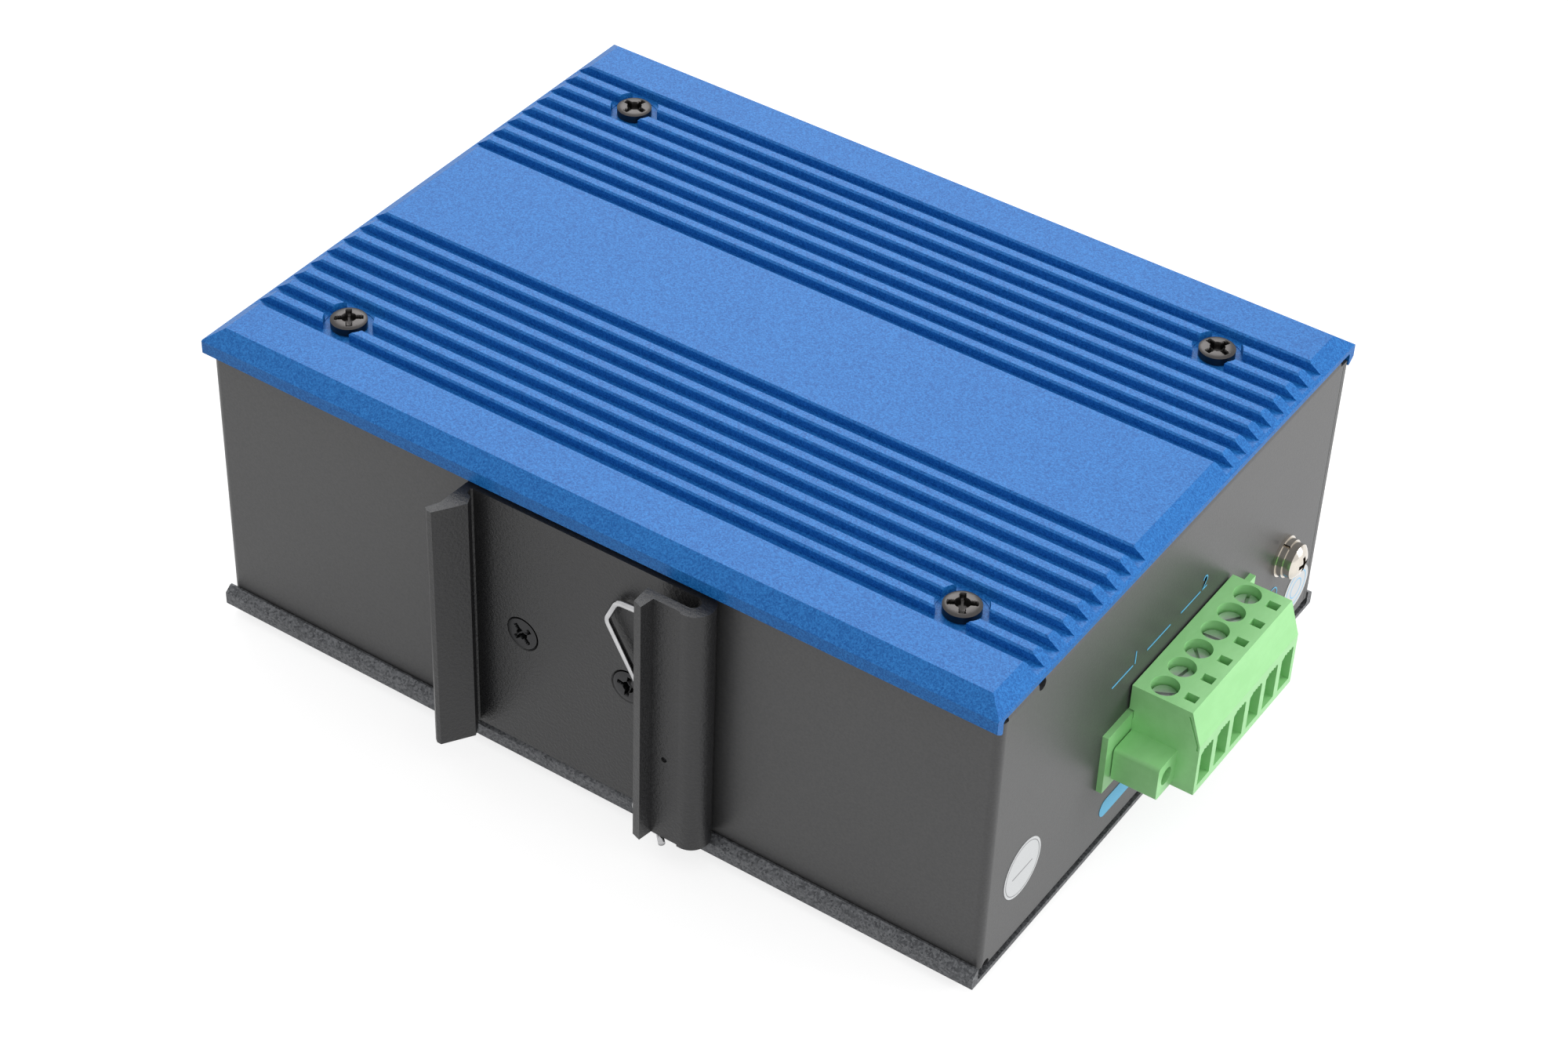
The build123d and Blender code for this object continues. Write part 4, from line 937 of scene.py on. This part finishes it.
@dataclass
class ClampScrews:
    """The slotted screws in the plug's wells, as high as open clamps leave them.

    All lengths are in millimetres. Each takes its axis and its lower end from the model's own screws.
    """

    count: int = 6
    below_top: float = 1.6
    slot_width: float = 0.55
    slot_depth: float = 0.8
    head: float = 3.4
    shank_radius: float = 1.0
    around: int = 42
    first_turn: float = 0.5
    turn_step: float = 0.9

    def lathe(self, profile: np.ndarray) -> tuple[np.ndarray, Faces]:
        """Turns a profile about the axis.

        Args:
            profile: rows of radius and height.

        Returns:
            Points r cos t, r sin t, z for each (r, z) of the profile and each angle t, and their quads.
        """
        angle = np.linspace(0, 2 * np.pi, self.around, endpoint=False)
        radius, height = profile[:, :1], profile[:, 1:]
        points = np.stack([radius * np.cos(angle), radius * np.sin(angle), height + 0 * angle], axis=-1)
        return points.reshape(-1, 3), grid_faces(len(profile), self.around)

    def half_disc(self, radius: float, low: float, high: float, side: int) -> tuple[np.ndarray, Faces]:
        """The part of a disc beyond the slot.

        Args:
            radius: of the disc.
            low: height of its lower face.
            high: height of its upper face.
            side: 1 or -1, the side of the slot.

        Returns:
            Points of an arc that its chord closes, at both heights, and their faces.
        """
        edge = math.asin(self.slot_width / 2 / radius)
        angle = np.linspace(edge, np.pi - edge, self.around // 2)
        arc = np.column_stack([np.cos(angle), np.sin(angle)]) * radius * side
        count = len(arc)
        points = np.concatenate([np.column_stack([arc, np.full(count, level)]) for level in (low, high)])
        return points, grid_faces(2, count) + [range(count)[::-1], range(count, 2 * count)]

    def build(self, material: bpy.types.Material) -> bpy.types.Object:
        """Makes the screws as one piece of separate closed shells.

        Args:
            material: their finish.

        Returns:
            The screws: each a shank and head turned about its axis, with two half discs beside the slot.
        """
        low, high = node_corners("clamp_screws")
        radius = (high[0] - low[0]) / 2
        top = node_corners("terminal_plug")[1][2] - self.below_top
        floor = top - self.slot_depth
        profile = np.array([(0, low[2]), (self.shank_radius, low[2]), (self.shank_radius, top - self.head),
                            (radius, top - self.head), (radius, floor), (0, floor)])
        halves = [self.half_disc(radius, floor, top, side) for side in (1, -1)]
        verts, faces, used = [], [], 0
        for i, y in enumerate(np.linspace(low[1] + radius, high[1] - radius, self.count)):
            turn = self.first_turn + self.turn_step * i
            cos, sin = math.cos(turn), math.sin(turn)
            spin = np.array([(cos, sin, 0), (-sin, cos, 0), (0, 0, 1)])
            for points, corners in [self.lathe(profile)] + halves:
                verts.append(points @ spin + ((low[0] + high[0]) / 2, y, 0))
                faces += [[used + corner for corner in face] for face in corners]
                used += len(points)
        obj = sheet_mesh("slotted_clamp_screws", np.concatenate(verts) * MM, faces)
        return hand_over(obj, material, "clamp_screws")


@dataclass
class SpringWire:
    """The clip's spring: one bent steel wire with a V to the left and a foot under the arm's end.

    All lengths are in millimetres. The wire runs in the middle of the clip's slot, at the same depth until
    the foot, and the route gives its corners' x and z.
    """

    radius: float = 0.55
    bend: float = 1.6
    depth: float = -54.3
    around: int = 24
    arc_steps: int = 14
    route: tuple[Pair, ...] = ((21.2, 46.1), (8.4, 45.2), (6.5, 41.0), (21.0, 16.4), (9.9, 4.35),
                               (16.0, 4.35))
    foot: Point = (19.0, -57.3, 4.35)

    def rounded(self) -> np.ndarray:
        """The wire's middle line.

        Returns:
            Points in metres. At each corner an arc of the bend radius r touches both runs: its centre
            stands r / sin(half the corner) from the corner, and its points are centre + r * unit vectors
            turned evenly from one touching point to the other.
        """
        corners = np.array([(x, self.depth, z) for x, z in self.route] + [self.foot])
        pieces = [corners[:1]]
        for before, corner, after in zip(corners, corners[1:], corners[2:]):
            back = (before - corner) / np.linalg.norm(before - corner)
            ahead = (after - corner) / np.linalg.norm(after - corner)
            half = math.acos(float(back @ ahead)) / 2
            middle = (back + ahead) / np.linalg.norm(back + ahead)
            centre = corner + middle * self.bend / math.sin(half)
            reach = self.bend / math.tan(half)
            start = (corner + back * reach - centre) / self.bend
            end = (corner + ahead * reach - centre) / self.bend
            share = np.linspace(0, 1, self.arc_steps)[:, None]
            turn = math.acos(float(np.clip(start @ end, -1, 1)))
            arc = (np.sin((1 - share) * turn) * start + np.sin(share * turn) * end) / math.sin(turn)
            pieces.append(centre + arc * self.bend)
        pieces.append(corners[-1:])
        return np.concatenate(pieces) * MM

    def build(self, material: bpy.types.Material) -> bpy.types.Object:
        """Makes the wire.

        Args:
            material: its finish.

        Returns:
            The wire: circles of its radius carried along its middle line, closed at both ends.
        """
        line = self.rounded()
        along = np.gradient(line, axis=0)
        along /= np.linalg.norm(along, axis=1, keepdims=True)
        side = np.cross(along, (0.0, 1.0, 0.0))
        side /= np.linalg.norm(side, axis=1, keepdims=True)
        out = np.cross(side, along)
        angle = np.linspace(0, 2 * np.pi, self.around, endpoint=False)[:, None]
        circles = np.cos(angle) * side[:, None] + np.sin(angle) * out[:, None]
        rings = line[:, None] + self.radius * MM * circles
        last = (len(line) - 1) * self.around
        caps = [range(self.around)[::-1], range(last, last + self.around)]
        obj = sheet_mesh("spring_wire", rings.reshape(-1, 3), grid_faces(len(line), self.around) + caps)
        return hand_over(obj, material, "rail_clip_spring", 180.0)


@dataclass(frozen=True)
class Lamp:
    """A square soft lamp that looks at the middle of the model."""

    name: str
    place: Point
    size: float
    watts: float
    aim: Point = (0.0, 0.0, 0.03)

    def build(self) -> None:
        """Makes the lamp and turns it to its aim."""
        data = bpy.data.lights.new(self.name, "AREA")
        data.size = self.size
        data.energy = self.watts
        obj = bpy.data.objects.new(self.name, data)
        obj.location = self.place
        obj.rotation_mode = "QUATERNION"
        obj.rotation_quaternion = (Vector(self.aim) - Vector(self.place)).to_track_quat("-Z", "Y")
        bpy.context.scene.collection.objects.link(obj)
        LOG.info("lit by %s", self.name)


@dataclass
class Studio:
    """The pale floor, the white surround, the lamps and the camera."""

    floor_half: float = 3.0
    floor_gap: float = 0.1 * MM
    floor_grey: float = 0.4
    floor_seen: float = 0.75
    floor_mirrored: float = 0.75
    bright_side: Point = (0.3, 0.3, 0.9)
    sky: Pair = (0.7, 1.1)
    sky_from: float = -0.3
    lens: float = 77.92
    sensor: float = 36.0
    nearest: float = 0.01
    position: Point = (0.22730, -0.35063, 0.37068)
    right: Point = (0.82516, 0.56396, 0.03262)
    down: Point = (0.38398, -0.51759, -0.76463)
    forward: Point = (-0.41434, 0.64347, -0.64364)
    lamps: tuple[Lamp, ...] = (Lamp("behind", (-0.50, 0.75, 0.85), 0.7, 5.0),
                               Lamp("right_side", (0.9, 0.6, 0.3), 0.5, 6.0))

    def floor(self) -> None:
        """Makes a wide pale floor just under the model, which the camera and reflections see as white."""
        corners = np.array([(-1, -1), (1, -1), (1, 1), (-1, 1)]) * self.floor_half
        level = np.full(len(corners), CAD_BOX[0].z - self.floor_gap)
        obj = sheet_mesh("floor", np.column_stack([corners, level]), [range(len(corners))])
        shader = Shader("white_floor")
        rays = shader.add("ShaderNodeLightPath")
        mirrored = (rays.out("Is Glossy Ray") + rays.out("Is Transmission Ray")).clamped()
        glow = rays.out("Is Camera Ray") * self.floor_seen + mirrored * self.floor_mirrored
        obj.data.materials.append(shader.finish({
            "Base Color": (self.floor_grey,) * 3, "Roughness": 0.9, "Specular IOR Level": 0.0,
            "Emission Color": shader.blend(glow, (0.0, 0.0, 0.0), (1.0, 1.0, 1.0)),
            "Emission Strength": 1.0}))

    def surround(self) -> None:
        """White where the camera and reflections look, a softer sky for the light itself.

        The sky's level rises from the first to the second value of `sky` as the cosine between a direction
        and the bright side goes from `sky_from` to 1.
        """
        world = bpy.data.worlds.new("surround")
        bpy.context.scene.world = world
        tree = NodeTree(world)
        rays = tree.add("ShaderNodeLightPath")
        shown = (rays.out("Is Camera Ray") + rays.out("Is Glossy Ray")
                 + rays.out("Is Transmission Ray")).clamped()
        direction = tree.add("ShaderNodeTexCoord").out("Generated")
        facing = tree.add("ShaderNodeVectorMath", {"operation": "DOT_PRODUCT"},
                          {0: direction, 1: Vector(self.bright_side).normalized()}).out("Value")
        dim, bright = self.sky
        level = facing.step(self.sky_from, 1.0) * (bright - dim) + dim
        background = tree.add("ShaderNodeBackground", {}, {"Color": (1.0, 1.0, 1.0),
                                                           "Strength": shown + (1.0 - shown) * level})
        tree.add("ShaderNodeOutputWorld", {}, {"Surface": background.out()})

    def camera(self) -> None:
        """Makes the camera, as it was fitted to the box's edges in the photograph."""
        data = bpy.data.cameras.new("camera")
        data.lens = self.lens
        data.sensor_width = self.sensor
        data.clip_start = self.nearest
        obj = bpy.data.objects.new("camera", data)
        axes = Matrix((Vector(self.right), -Vector(self.down), -Vector(self.forward))).transposed()
        obj.matrix_world = Matrix.Translation(self.position) @ axes.to_4x4()
        bpy.context.scene.collection.objects.link(obj)
        bpy.context.scene.camera = obj

    def build(self) -> None:
        """Makes the whole studio."""
        self.floor()
        self.surround()
        self.camera()
        for lamp in self.lamps:
            lamp.build()
        bpy.context.scene.view_settings.view_transform = "Standard"


def main() -> None:
    """Dresses the switch, adds its marks and new pieces, and sets up the studio."""
    logging.basicConfig(level=logging.INFO, format="%(name)s: %(message)s")
    finishes = Finishes()
    Dressing(finishes).apply(frame["nodes"])
    Marks(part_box("case_wrap")[1].x + MARK_GAP).build(finishes)
    SpringWire().build(finishes.wire.build())
    CoverScrews().build(finishes.cover_screw.build())
    ClipScrews().build(finishes.screw.build())
    # the clamp screws get the lighter steel copy, painted light against the shade in the wells
    ClampScrews().build(finishes.painted_light_steel.build())
    Studio().build()


if __name__ == "__main__":
    main()
